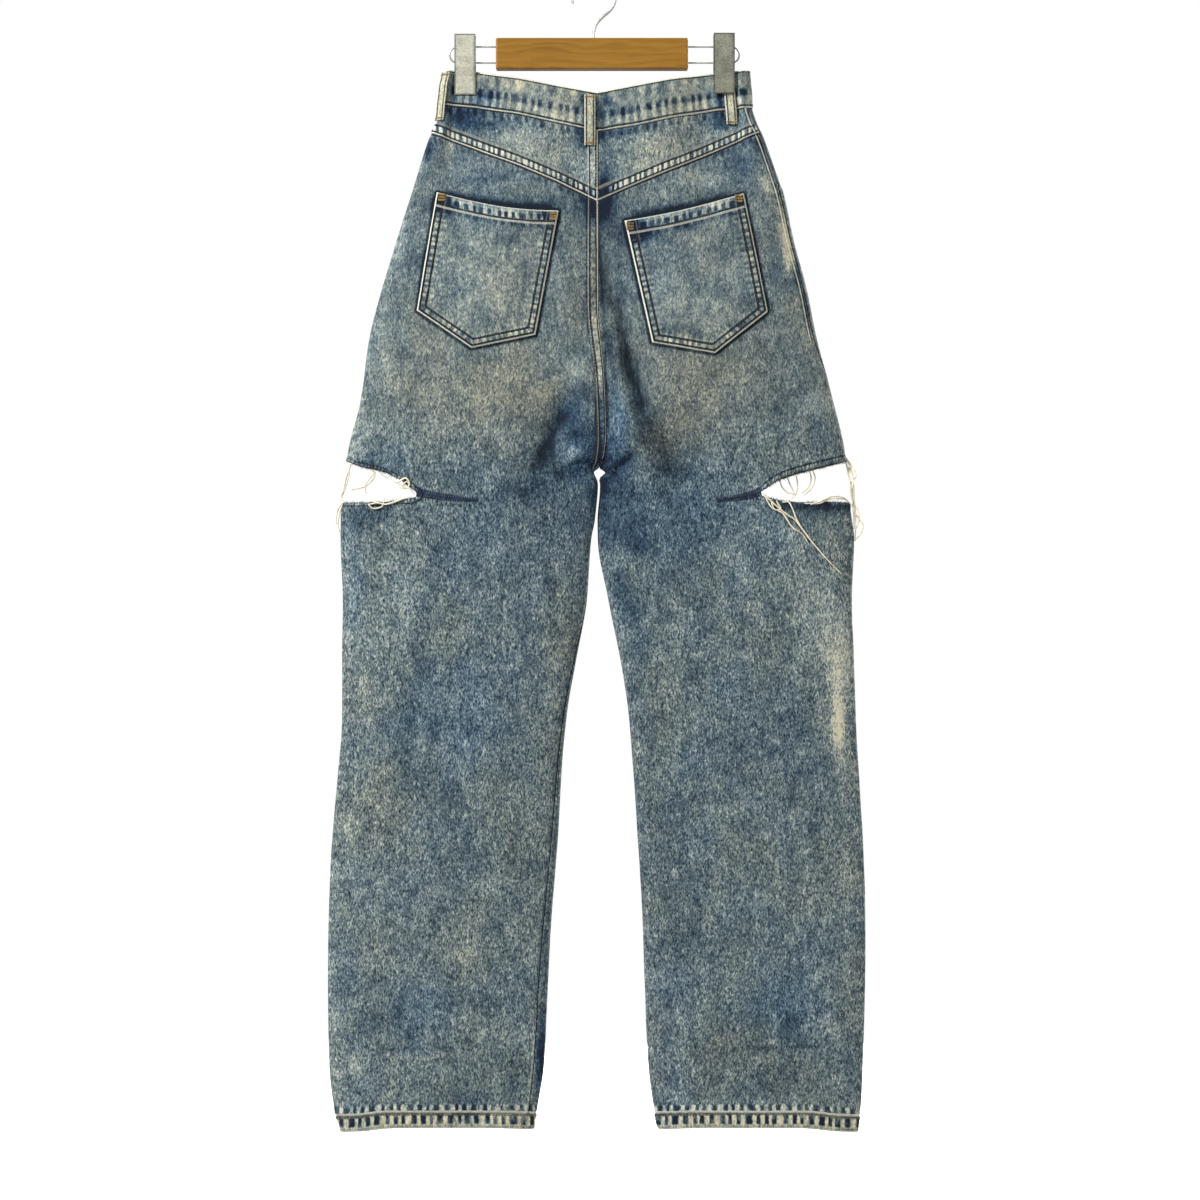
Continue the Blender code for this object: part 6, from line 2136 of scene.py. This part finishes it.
@dataclass(frozen=True)
class DartBar:
    """The close navy stitches that run in from a slash's tip."""

    side: Side
    start: tuple[float, float]
    end: tuple[float, float]
    wide_start: float = 10.0
    wide_end: float = 4.6
    pitch: float = 1.1
    lean: float = 0.34

    def sew(self, sewing: Sewing) -> None:
        """Adds the bar's stitches, leaning to and fro."""
        tip = FORM.tip(self.side)
        count = int(math.dist(self.start, self.end) / self.pitch)
        for number in range(count):
            t = number / (count - 1)
            x = self.start[0] + (self.end[0] - self.start[0]) * t
            height = self.start[1] + (self.end[1] - self.start[1]) * t - 1.2 * math.sin(math.pi * t)
            to_tip = math.hypot(x - tip.x, height - tip.height)
            lift = raised(to_tip, LegPanel.rim_width, LegPanel.rim_rise)
            centre, out = FORM.dressed(self.side, Face.BACK, x, height, lift + 0.25)
            lean = self.lean if number % 2 else -self.lean
            way = unit(np.array((lean, 0.0, 1.0)) - out * (out[2] + lean * out[0]))
            wide = self.wide_start + (self.wide_end - self.wide_start) * t
            sewing.navy.add(centre[None], way[None], out[None], StitchSize(self.pitch, wide, 1.15, 0.9))


@dataclass
class Fringe:
    """Short warp and weft ends standing from the slashes' torn edges."""

    seed: int = 5
    per_slash: int = 130
    reach: float = 2.6
    radius: float = 0.17

    def fibre(self, rng: np.random.Generator, side: Side, face: Face, upper: bool) -> Array:
        """The path of one torn end.

        Args:
            rng: where its chances come from.
            side: which leg.
            face: which face of it.
            upper: whether it hangs from the upper edge.

        Returns:
            Its points.
        """
        edge = 0 if upper else 1
        level = float(FORM.slash_edges(side, side * 230.0)[edge])
        far = float(FORM.outer(side, level)) - side * 2.0
        tip = FORM.tip(side)
        x = tip.x + (far - tip.x) * rng.uniform(0.06, 1.0)
        height = float(FORM.slash_edges(side, x)[edge])
        way = -1.0 if upper else 1.0
        length = self.reach * rng.uniform(0.35, 1.0)
        sway, curl = rng.normal(0.0, 1.6), rng.uniform(-0.6, 1.4)
        start, out = FORM.dressed(side, face, x, height - way * 0.5, -WALL / 2)
        t = np.linspace(0.0, 1.0, 6)[:, None]
        flat = np.concatenate((sway * t ** 1.6, 0 * t, way * length * t), axis=1)
        return start + flat + out * (curl * t ** 1.5 + 0.3 * t)

    def build(self, light: Material, dark: Material) -> None:
        """Makes the pale and the navy ends, each as one mesh."""
        rng = np.random.default_rng(self.seed)
        for name, finish, share in (("slash_fringe_pale", light, 1.0), ("slash_fringe_navy", dark, 0.5)):
            strands = Strands(name, 4)
            for side in Side:
                for face, amount in ((Face.BACK, 1.0), (Face.FRONT, 0.6)):
                    for _ in range(int(self.per_slash * share * amount)):
                        strands.add(self.fibre(rng, side, face, rng.random() < 0.5), self.radius)
            strands.build(finish)


@dataclass(frozen=True)
class LooseThread:
    """One long thread hanging from a slash, by places on or beside the cloth."""

    radius: float
    knots: tuple[tuple[float, float, float], ...]
    count: int

    def path(self, side: Side) -> Array:
        """Its points: each knot is (x, height, how far it stands off the back)."""
        knots = []
        for x, height, off in self.knots:
            on_cloth = side * (float(FORM.outer(side, height)) - x) > 1.0
            knots.append(FORM.dressed(side, Face.BACK, x, height, off)[0] if on_cloth else (x, -off, height))
        return through_points(knots, self.count)


def strand(radius: float, *knots: tuple[float, float, float], count: int = 40) -> LooseThread:
    """A loose thread from its knots."""
    return LooseThread(radius, knots, count)


THREADS = {
    Side.LEFT: (
        strand(0.85, (-245, 665, 0.6), (-249, 652, 1.6), (-251.5, 640, 2), (-254, 631, 1.8),
               (-250, 627, 1)),
        strand(0.7, (-247, 664, 0.6), (-247, 652, 1.6), (-250, 640, 2.4), (-255, 632, 1.8)),
        strand(0.78, (-254, 626, 0.8), (-259, 619, 1.5), (-261, 608, 1.5), (-257, 597, 1.2)),
        strand(0.7, (-253, 626, 1.2), (-257, 616, 1.8), (-259, 604, 1.8), (-255, 592, 1.2)),
        strand(0.78, (-228, 661, -1), (-222, 655, -2), (-224, 649, -3), (-233, 642, -4),
               (-246, 639, -3)),
        strand(0.7, (-221, 656, -2), (-229, 648, -3.5), (-232, 640, -3.5), (-230, 635, -3)),
        strand(0.7, (-218, 658, -0.5), (-213, 653, -2), (-208, 650, -2.4)),
        strand(0.93, (-204, 649, 0.8), (-198, 646, 1.8), (-190, 650, 2.2), (-186, 645, 1.8),
               (-189, 640, 1.4), (-196, 641, 1.2)),
        strand(0.85, (-200, 647, 0.8), (-194, 643, 1.8), (-186, 640, 1.8), (-181, 634, 1)),
        strand(0.7, (-188, 647, 1.8), (-192, 644, 2.2), (-190, 640, 2), (-186, 643, 1.8),
               (-189, 647, 2)),
        strand(0.78, (-226, 624, 1.4), (-218, 625.5, 2), (-210, 624, 2), (-202, 626, 2),
               (-193, 629, 1.6), (-184, 632, 1.2)),
        strand(0.65, (-227, 624, 1.6), (-222, 620, 1.8), (-214, 621.5, 1.8), (-212, 625, 1.6),
               (-211, 630, 1.6)),
    ),
    Side.RIGHT: (
        strand(1.01, (249, 671, 0.6), (254, 660, 1.5), (256, 645, 2), (257, 628, 1.8),
               (258.5, 606, 1.5), (258, 588, 1.2)),
        strand(0.93, (248, 671, 0.8), (252, 652, 2), (254, 634, 2.6), (257, 618, 2.2),
               (262, 610, 1.6), (266, 604, 1.5), (264, 596, 1.5), (259, 590, 1.2)),
        strand(0.7, (250, 670, 0.9), (257, 660, 1.6), (258.5, 652, 1.8), (254, 646, 1.8),
               (255, 630, 1.8)),
        strand(0.78, (251, 662, 1.4), (256, 650, 2.4), (254.5, 636, 2.6), (256, 620, 2.4),
               (257, 600, 2)),
        strand(0.7, (256, 626, 1.8), (261, 618, 1.8), (261.5, 608, 1.8), (258.5, 598, 1.5)),
        strand(0.93, (165, 634, 1.6), (176, 624, 1.8), (188, 614, 1.7), (197, 608, 1.7),
               (207, 595, 1.6), (214, 586, 1.5), (228, 570, 1.4), (243, 555, 1.2), count=60),
        strand(0.74, (166, 633, 1.8), (173, 621, 2), (184, 615, 2.2), (193, 602, 2.2),
               (204, 594, 2), (209, 586, 1.8)),
        strand(0.74, (184, 626, 1.6), (190, 626, 2.2), (194, 619, 2.4), (197, 611, 2.2),
               (203, 600, 2), (207, 594, 1.8)),
        strand(0.65, (172, 629, 1.6), (176, 619, 2.2), (182, 620, 2.4), (178, 628, 2)),
        strand(0.65, (178, 627, 1.6), (182, 619, 2.4), (189, 614, 2.4)),
        strand(0.85, (212, 624, 0.9), (224, 628, 1.5), (234, 632, 1.6), (244, 631, 1.6),
               (252, 627, 1.4)),
        strand(0.65, (206, 625, 0.9), (220, 625, 1.2), (232, 629.5, 1.4), (246, 629, 1.4),
               (254, 624, 1.4)),
        strand(0.65, (181, 652, -3), (184, 642, -5), (190, 636, -5), (199, 634, -4)),
        strand(0.65, (188, 655, -3), (192, 645, -5), (196, 636, -5), (194, 630, -4)),
        strand(0.65, (197, 656, -2), (200, 646, -5), (199, 636, -5), (196, 630, -4)),
        strand(0.7, (211, 659, -2), (214, 650, -5), (211, 641, -5), (204, 635, -4)),
        strand(0.65, (214, 660, -2), (218, 650, -5), (214, 640, -5), (206, 633, -4)),
    ),
}
TAIL_THREADS = range(5, 10)


def build_threads(finish: Material) -> None:
    """Makes the loose threads, with the bundle's own node and the long tail's."""
    for side in Side:
        bundle = Strands(f"loose_threads_{side.word}", 6)
        tails = Strands("long_tail_right", 6)
        for number, thread in enumerate(THREADS[side]):
            target = tails if side is Side.RIGHT and number in TAIL_THREADS else bundle
            target.add(thread.path(side), thread.radius, 0.6)
        bundle.build(finish, f"threads_{side.word}")
        if tails.count:
            tails.build(finish, "thread_tail_right")


@dataclass
class WaistButton:
    """A plain shank button with a rolled rim and a domed middle."""

    radius: float = 8.5
    thickness: float = 2.4
    rings: tuple[tuple[float, float], ...] = ((1.3, 0.0), (0.5, -0.6), (2.2, 0.3), (2.0, 0.15))

    def build(self, finish: Material) -> Piece:
        """Makes the button where its solid sits."""
        low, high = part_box("waist_button")
        centre = [(one + two) / 2 for one, two in zip(low, high)]
        bpy.ops.object.select_all(action="DESELECT")
        bpy.ops.mesh.primitive_cylinder_add(vertices=64, radius=self.radius * MM, depth=self.thickness * MM,
                                            location=centre, rotation=(math.pi / 2, 0.0, 0.0))
        made = bpy.context.active_object
        made.name = "shank_button"
        bpy.ops.object.transform_apply(location=True, rotation=True, scale=True)
        front = max(made.data.polygons, key=lambda face: face.center[1])
        bpy.ops.object.mode_set(mode="EDIT")
        bpy.ops.mesh.select_all(action="DESELECT")
        bpy.ops.object.mode_set(mode="OBJECT")
        front.select = True
        bpy.ops.object.mode_set(mode="EDIT")
        for thickness, depth in self.rings:
            bpy.ops.mesh.inset(thickness=thickness * MM, depth=depth * MM)
        bpy.ops.object.mode_set(mode="OBJECT")
        bevel = made.modifiers.new("soft rim", "BEVEL")
        bevel.width = 0.35 * MM
        bevel.segments = 3
        bevel.limit_method = "ANGLE"
        apply_all(made)
        bpy.ops.object.shade_smooth_by_angle(angle=math.radians(35))
        made.data.materials.clear()
        made.data.materials.append(finish)
        return declare(made, "button_metal", "waist_button")


class Scene:
    """Floor, camera and lights."""

    FLOOR_Z = -1.34
    HALF = 1.6
    CAMERA = (0.006, -2.6, -0.624)
    LENS = 78.0
    AIM = (0.0, 0.0, -0.6)
    LAMPS = (
        ("key", (-2.5, -1.9, 1.6), 0.8, 640.0),
        ("fill", (2.3, -2.2, 0.3), 1.8, 70.0),
        ("rear", (2.4, 2.0, 1.6), 0.9, 640.0),
    )

    def build(self) -> None:
        """Makes the studio."""
        ends = ((-1, -1), (1, -1), (1, 1), (-1, 1))
        corners = [(x * self.HALF, y * self.HALF, self.FLOOR_Z) for x, y in ends]
        new_object("studio_floor", corners, [(0, 1, 2, 3)], Studio().make())
        for lamp in self.LAMPS:
            self.lamp(*lamp)
        scene = bpy.context.scene
        scene.world = bpy.data.worlds.new("studio_world")
        scene.world.use_nodes = True
        background = scene.world.node_tree.nodes["Background"]
        background.inputs["Color"].default_value = (1.0, 1.0, 1.0, 1.0)
        background.inputs["Strength"].default_value = 1.0
        scene.view_settings.view_transform = "Standard"
        data = bpy.data.cameras.new("camera")
        data.lens = self.LENS
        scene.camera = bpy.data.objects.new("camera", data)
        scene.camera.location = self.CAMERA
        scene.camera.rotation_euler = (math.pi / 2, 0.0, 0.0)
        scene.collection.objects.link(scene.camera)

    def lamp(self, name: str, place: tuple[float, float, float], size: float, energy: float) -> None:
        """Adds a soft square light that faces the garment's middle.

        Args:
            name: the light's name.
            place: where it stands.
            size: its side.
            energy: its power.
        """
        data = bpy.data.lights.new(name, "AREA")
        data.size = size
        data.energy = energy
        made = bpy.data.objects.new(name, data)
        made.visible_camera = False
        made.location = place
        made.rotation_euler = (Vector(self.AIM) - Vector(place)).to_track_quat("-Z", "Y").to_euler()
        bpy.context.scene.collection.objects.link(made)


# ---- finishes and the whole


def cloth_finishes() -> dict[str, Material]:
    """The denim finishes by piece, their bands and lines in the orders of Band and Line."""
    # Painted shadow: the dark line at the back panel's side edge and the one beside the centre seam.
    side_lines = by_seam(
        Line, side_seam=((0.0, 1.6, -0.34),),
        outer_fell=((4.7, 1.3, 0.7), (3.1, 1.3, -0.32), (6.3, 1.2, -0.2)),
    )
    centre_line = by_seam(Line, centre_seam=((0.0, 1.4, -0.45),))
    # The band round the back pockets is painted shadow that they cast on the panel.
    panel_bands = by_seam(
        Band, foot_seam=((2.4, 8.6, 9.2, 0.74, 0.06, 1.6),), slash_edge=((1.2, 5.4, 3.4, 0.22, 0.06, 0.8),),
        pocket_edge=((0.0, 2.8, 0.0, 0.0, -0.42, 1.4),), side_seam=((0.0, 14.0, 11.0, 0.12, 0.05, 4.0),),
        top_seam=((2.0, 8.0, 7.0, 0.2, -0.10, 2.5),),
    )
    # Painted shadow: the line along the slash's cut edge and the one under the yoke's edge.
    panel_lines = side_lines + by_seam(
        Line, slash_edge=((0.3, 1.2, -0.40), (6.6, 1.8, -0.32)), foot_seam=((1.3, 2.6, 0.95),),
        top_seam=((0.0, 3.6, -0.50),),
    )
    fell_band = by_seam(Band, felled_seam=((2.8, 8.0, 6.5, 0.14, 0.24, 0.7),))
    # The fell's dark lines at its stitch rows are thread brown and painted shade; the one past its edge is
    # painted shadow.
    fell_lines = by_seam(Line, felled_seam=((0.7, 1.4, 1.0), (10.3, 1.1, 0.22), (12.0, 1.8, -0.2),
                                            (2.1, 1.5, -0.34), (8.7, 1.5, -0.36)))
    finishes = {
        "panel": Denim("denim_panel", 0.435, panel_bands, panel_lines + centre_line),
        "felled_panel": Denim("denim_panel_felled", 0.435, panel_bands + fell_band, panel_lines + fell_lines),
        "yoke": Denim("denim_yoke", 0.50, by_seam(
            Band, foot_seam=((2.9, 8.9, 5.6, 0.74, 0.16, 0.5), (10.0, 14.5, 5.6, 0.16, -0.22, 1.4)),
            centre_fell=((2.9, 8.2, 6.5, 0.12, 0.3, 0.7),), top_seam=((1.0, 8.0, 8.5, 0.3, -0.14, 2.5),),
        ), side_lines + centre_line + by_seam(
            # The yoke's dark lines at its stitch rows are thread brown and painted shade; the one under the
            # waistband is painted shadow.
            Line, foot_seam=((0.6, 1.5, 1.0), (2.2, 2.1, -0.55), (9.6, 2.0, -0.6), (12.6, 3.2, 0.18)),
            centre_fell=((0.9, 1.5, 0.8), (2.3, 1.4, -0.3), (8.8, 1.5, -0.3), (10.3, 1.0, 0.4)),
            top_seam=((0.0, 2.2, -0.5),),
        ), bluing=0.8, grain=1.12),
        "waistband": Denim("denim_waistband", 0.56, by_seam(
            Band, foot_seam=((3.2, 12.5, 9.0, 0.30, 0.14, 1.8), (12.5, 19.5, 9.0, 0.60, -0.20, 2.4)),
            top_edge=((3.0, 14.0, 14.0, 0.30, -0.03, 3.4),),
        ), by_seam(
            # Its dark lines at the stitch rows are thread brown and painted shade.
            Line, foot_seam=((0.7, 1.5, 0.9), (2.8, 1.7, -0.45)),
            top_edge=((0.6, 1.8, 0.85), (2.2, 1.3, -0.34)), end_edge=((0.6, 1.4, 0.5),),
        ), warmth=0.2, bluing=1.3, clouds=0.36, streaks=0.2, grain=0.8),
        "pocket": Denim("denim_pocket", 0.475, by_seam(
            Band, mouth=((0.8, 4.4, 8.0, 0.14, 0.36, 0.8), (4.2, 9.8, 8.0, 0.70, 0.06, 1.0),
                         (13.4, 18.0, 9.0, 0.2, -0.14, 1.6)),
            rim=((3.2, 7.4, 6.4, 0.36, 0.12, 0.6), (9.0, 15.0, 6.4, 0.20, 0.06, 2.0)),
        ), by_seam(
            # Its dark lines at the stitch rows are thread brown and painted shade.
            Line, rim=((0.7, 1.5, 1.0), (2.4, 2.2, -0.58), (8.3, 2.0, -0.48), (10.5, 1.4, 0.08)),
            mouth=((0.5, 1.2, 0.6), (12.9, 2.0, 0.42), (11.2, 1.6, -0.46)),
        ), grain=0.95, clouds=0.42, bluing=1.1),
        # The dark line along the scoop is painted shadow of the panel's edge.
        "facing": Denim("denim_facing", 0.37, lines=by_seam(Line, scoop=((0.0, 5.0, -0.3),))),
        "hem": Denim(
            "denim_hem", 0.74, by_seam(Band, top_seam=((1.8, 10.6, 9.0, 0.86, -0.30, 1.2),)),
            by_seam(Line, foot_edge=((0.6, 1.6, 0.5), (2.6, 1.2, -0.14)), top_seam=((0.7, 1.3, -0.5),)),
            bluing=1.5, warmth=0.5, grain=0.7, clouds=0.2,
        ),
        # The loop's dark lines at its stitch rows are thread brown and painted shade.
        "loop": Denim("denim_loop", 0.80, lines=by_seam(Line, edge=((2.1, 1.4, -0.50), (0.3, 1.0, 0.5))),
                      warmth=0.9, clouds=0.16, grain=0.6),
    }
    return {name: finish.make() for name, finish in finishes.items()}


def plate_edges(word: str) -> tuple[float, float, float, float]:
    """Left, right, bottom and top of a clip's outer plate, in millimetres."""
    low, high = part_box(f"clip_{word}_back")
    return low[0] / MM, high[0] / MM, low[2] / MM, high[2] / MM


def build_cloth(sewing: Sewing) -> None:
    """Makes every piece of cloth, in the order in which they are sewn on."""
    denim = cloth_finishes()
    inside = Inside().make()
    under: list[Piece] = []
    for side in Side:
        for face in Face:
            panel = LegPanel(side, face)
            under.append(panel.build(denim["felled_panel" if panel.felled() else "panel"], inside, sewing))
        under.append(Yoke(side).build(denim["yoke"], inside, sewing))
        under.append(PocketFacing(side).build(denim["facing"], inside, sewing))
        BackPocket(side).build(denim["pocket"], inside, sewing)
        LegHem(side).build(denim["hem"], denim["hem"], sewing)
    under.append(Waistband().build(denim["waistband"], denim["waistband"], sewing))
    FlyShield().build(denim["facing"], inside, sewing)
    feeler = Feeler(under)
    for loop in (
        BeltLoop("belt_loop_back", Face.BACK, -7, -7, 1032, 981),
        BeltLoop("belt_loop_side_left", Face.BACK, -149, -154, 1056, 1008, facing=38),
        BeltLoop("belt_loop_side_right", Face.BACK, 131, 135, 1053, 1004, flat_share=0.45),
        BeltLoop("belt_loop_front_left", Face.FRONT, -72, -74, 1033, 985),
        BeltLoop("belt_loop_front_right", Face.FRONT, 78, 80, 1034, 985),
    ):
        loop.build(feeler, denim["loop"], sewing)
    DartBar(Side.LEFT, (-179, 636), (-119, 628)).sew(sewing)
    DartBar(Side.RIGHT, (162, 636), (119, 628)).sew(sewing)


def build_yarns(sewing: Sewing) -> None:
    """Makes the sewing, the fringes and the loose threads."""
    sewing.top.build(Yarn("topstitch_yarn", tint(78, 68, 46), tint(50, 46, 36)).make())
    sewing.pale.build(Yarn("pocket_yarn", tint(76, 70, 54), tint(50, 48, 42)).make())
    sewing.tacks.build(Yarn("tack_yarn", tint(178, 148, 88), tint(126, 104, 62)).make())
    navy = Yarn("navy_yarn", tint(44, 64, 94), tint(14, 28, 48)).make()
    sewing.navy.build(navy)
    ivory = Yarn("ivory_yarn", tint(264, 256, 228), tint(224, 214, 184)).make()
    Fringe().build(ivory, navy)
    build_threads(ivory)


def dress_hanger() -> None:
    """Makes the button and gives the hanger's own solids their finishes."""
    bright = Plated("clip_plating_light", tint(214, 213, 193), tint(172, 171, 152), plate=plate_edges("left"))
    dull = Plated("clip_plating_dull", tint(157, 157, 138), tint(114, 114, 97), plate=plate_edges("right"))
    wire = Plated("steel_wire", tint(206, 204, 198), tint(168, 166, 158), 0.3).make()
    WaistButton().build(Plated("button_plating", tint(150, 134, 108), tint(104, 92, 74)).make())
    finishes = {"hanger_bar": Wood().make(), "clip_left": bright.make(), "clip_right": dull.make()}
    for name, node in frame["nodes"].items():
        node.data.materials.clear()
        node.data.materials.append(next((finishes[key] for key in finishes if name.startswith(key)), wire))


def main() -> None:
    """Builds every piece in order, then the studio."""
    logging.basicConfig(level=logging.INFO, format="%(message)s")
    sewing = Sewing()
    build_cloth(sewing)
    build_yarns(sewing)
    dress_hanger()
    Scene().build()


if __name__ == "__main__":
    main()
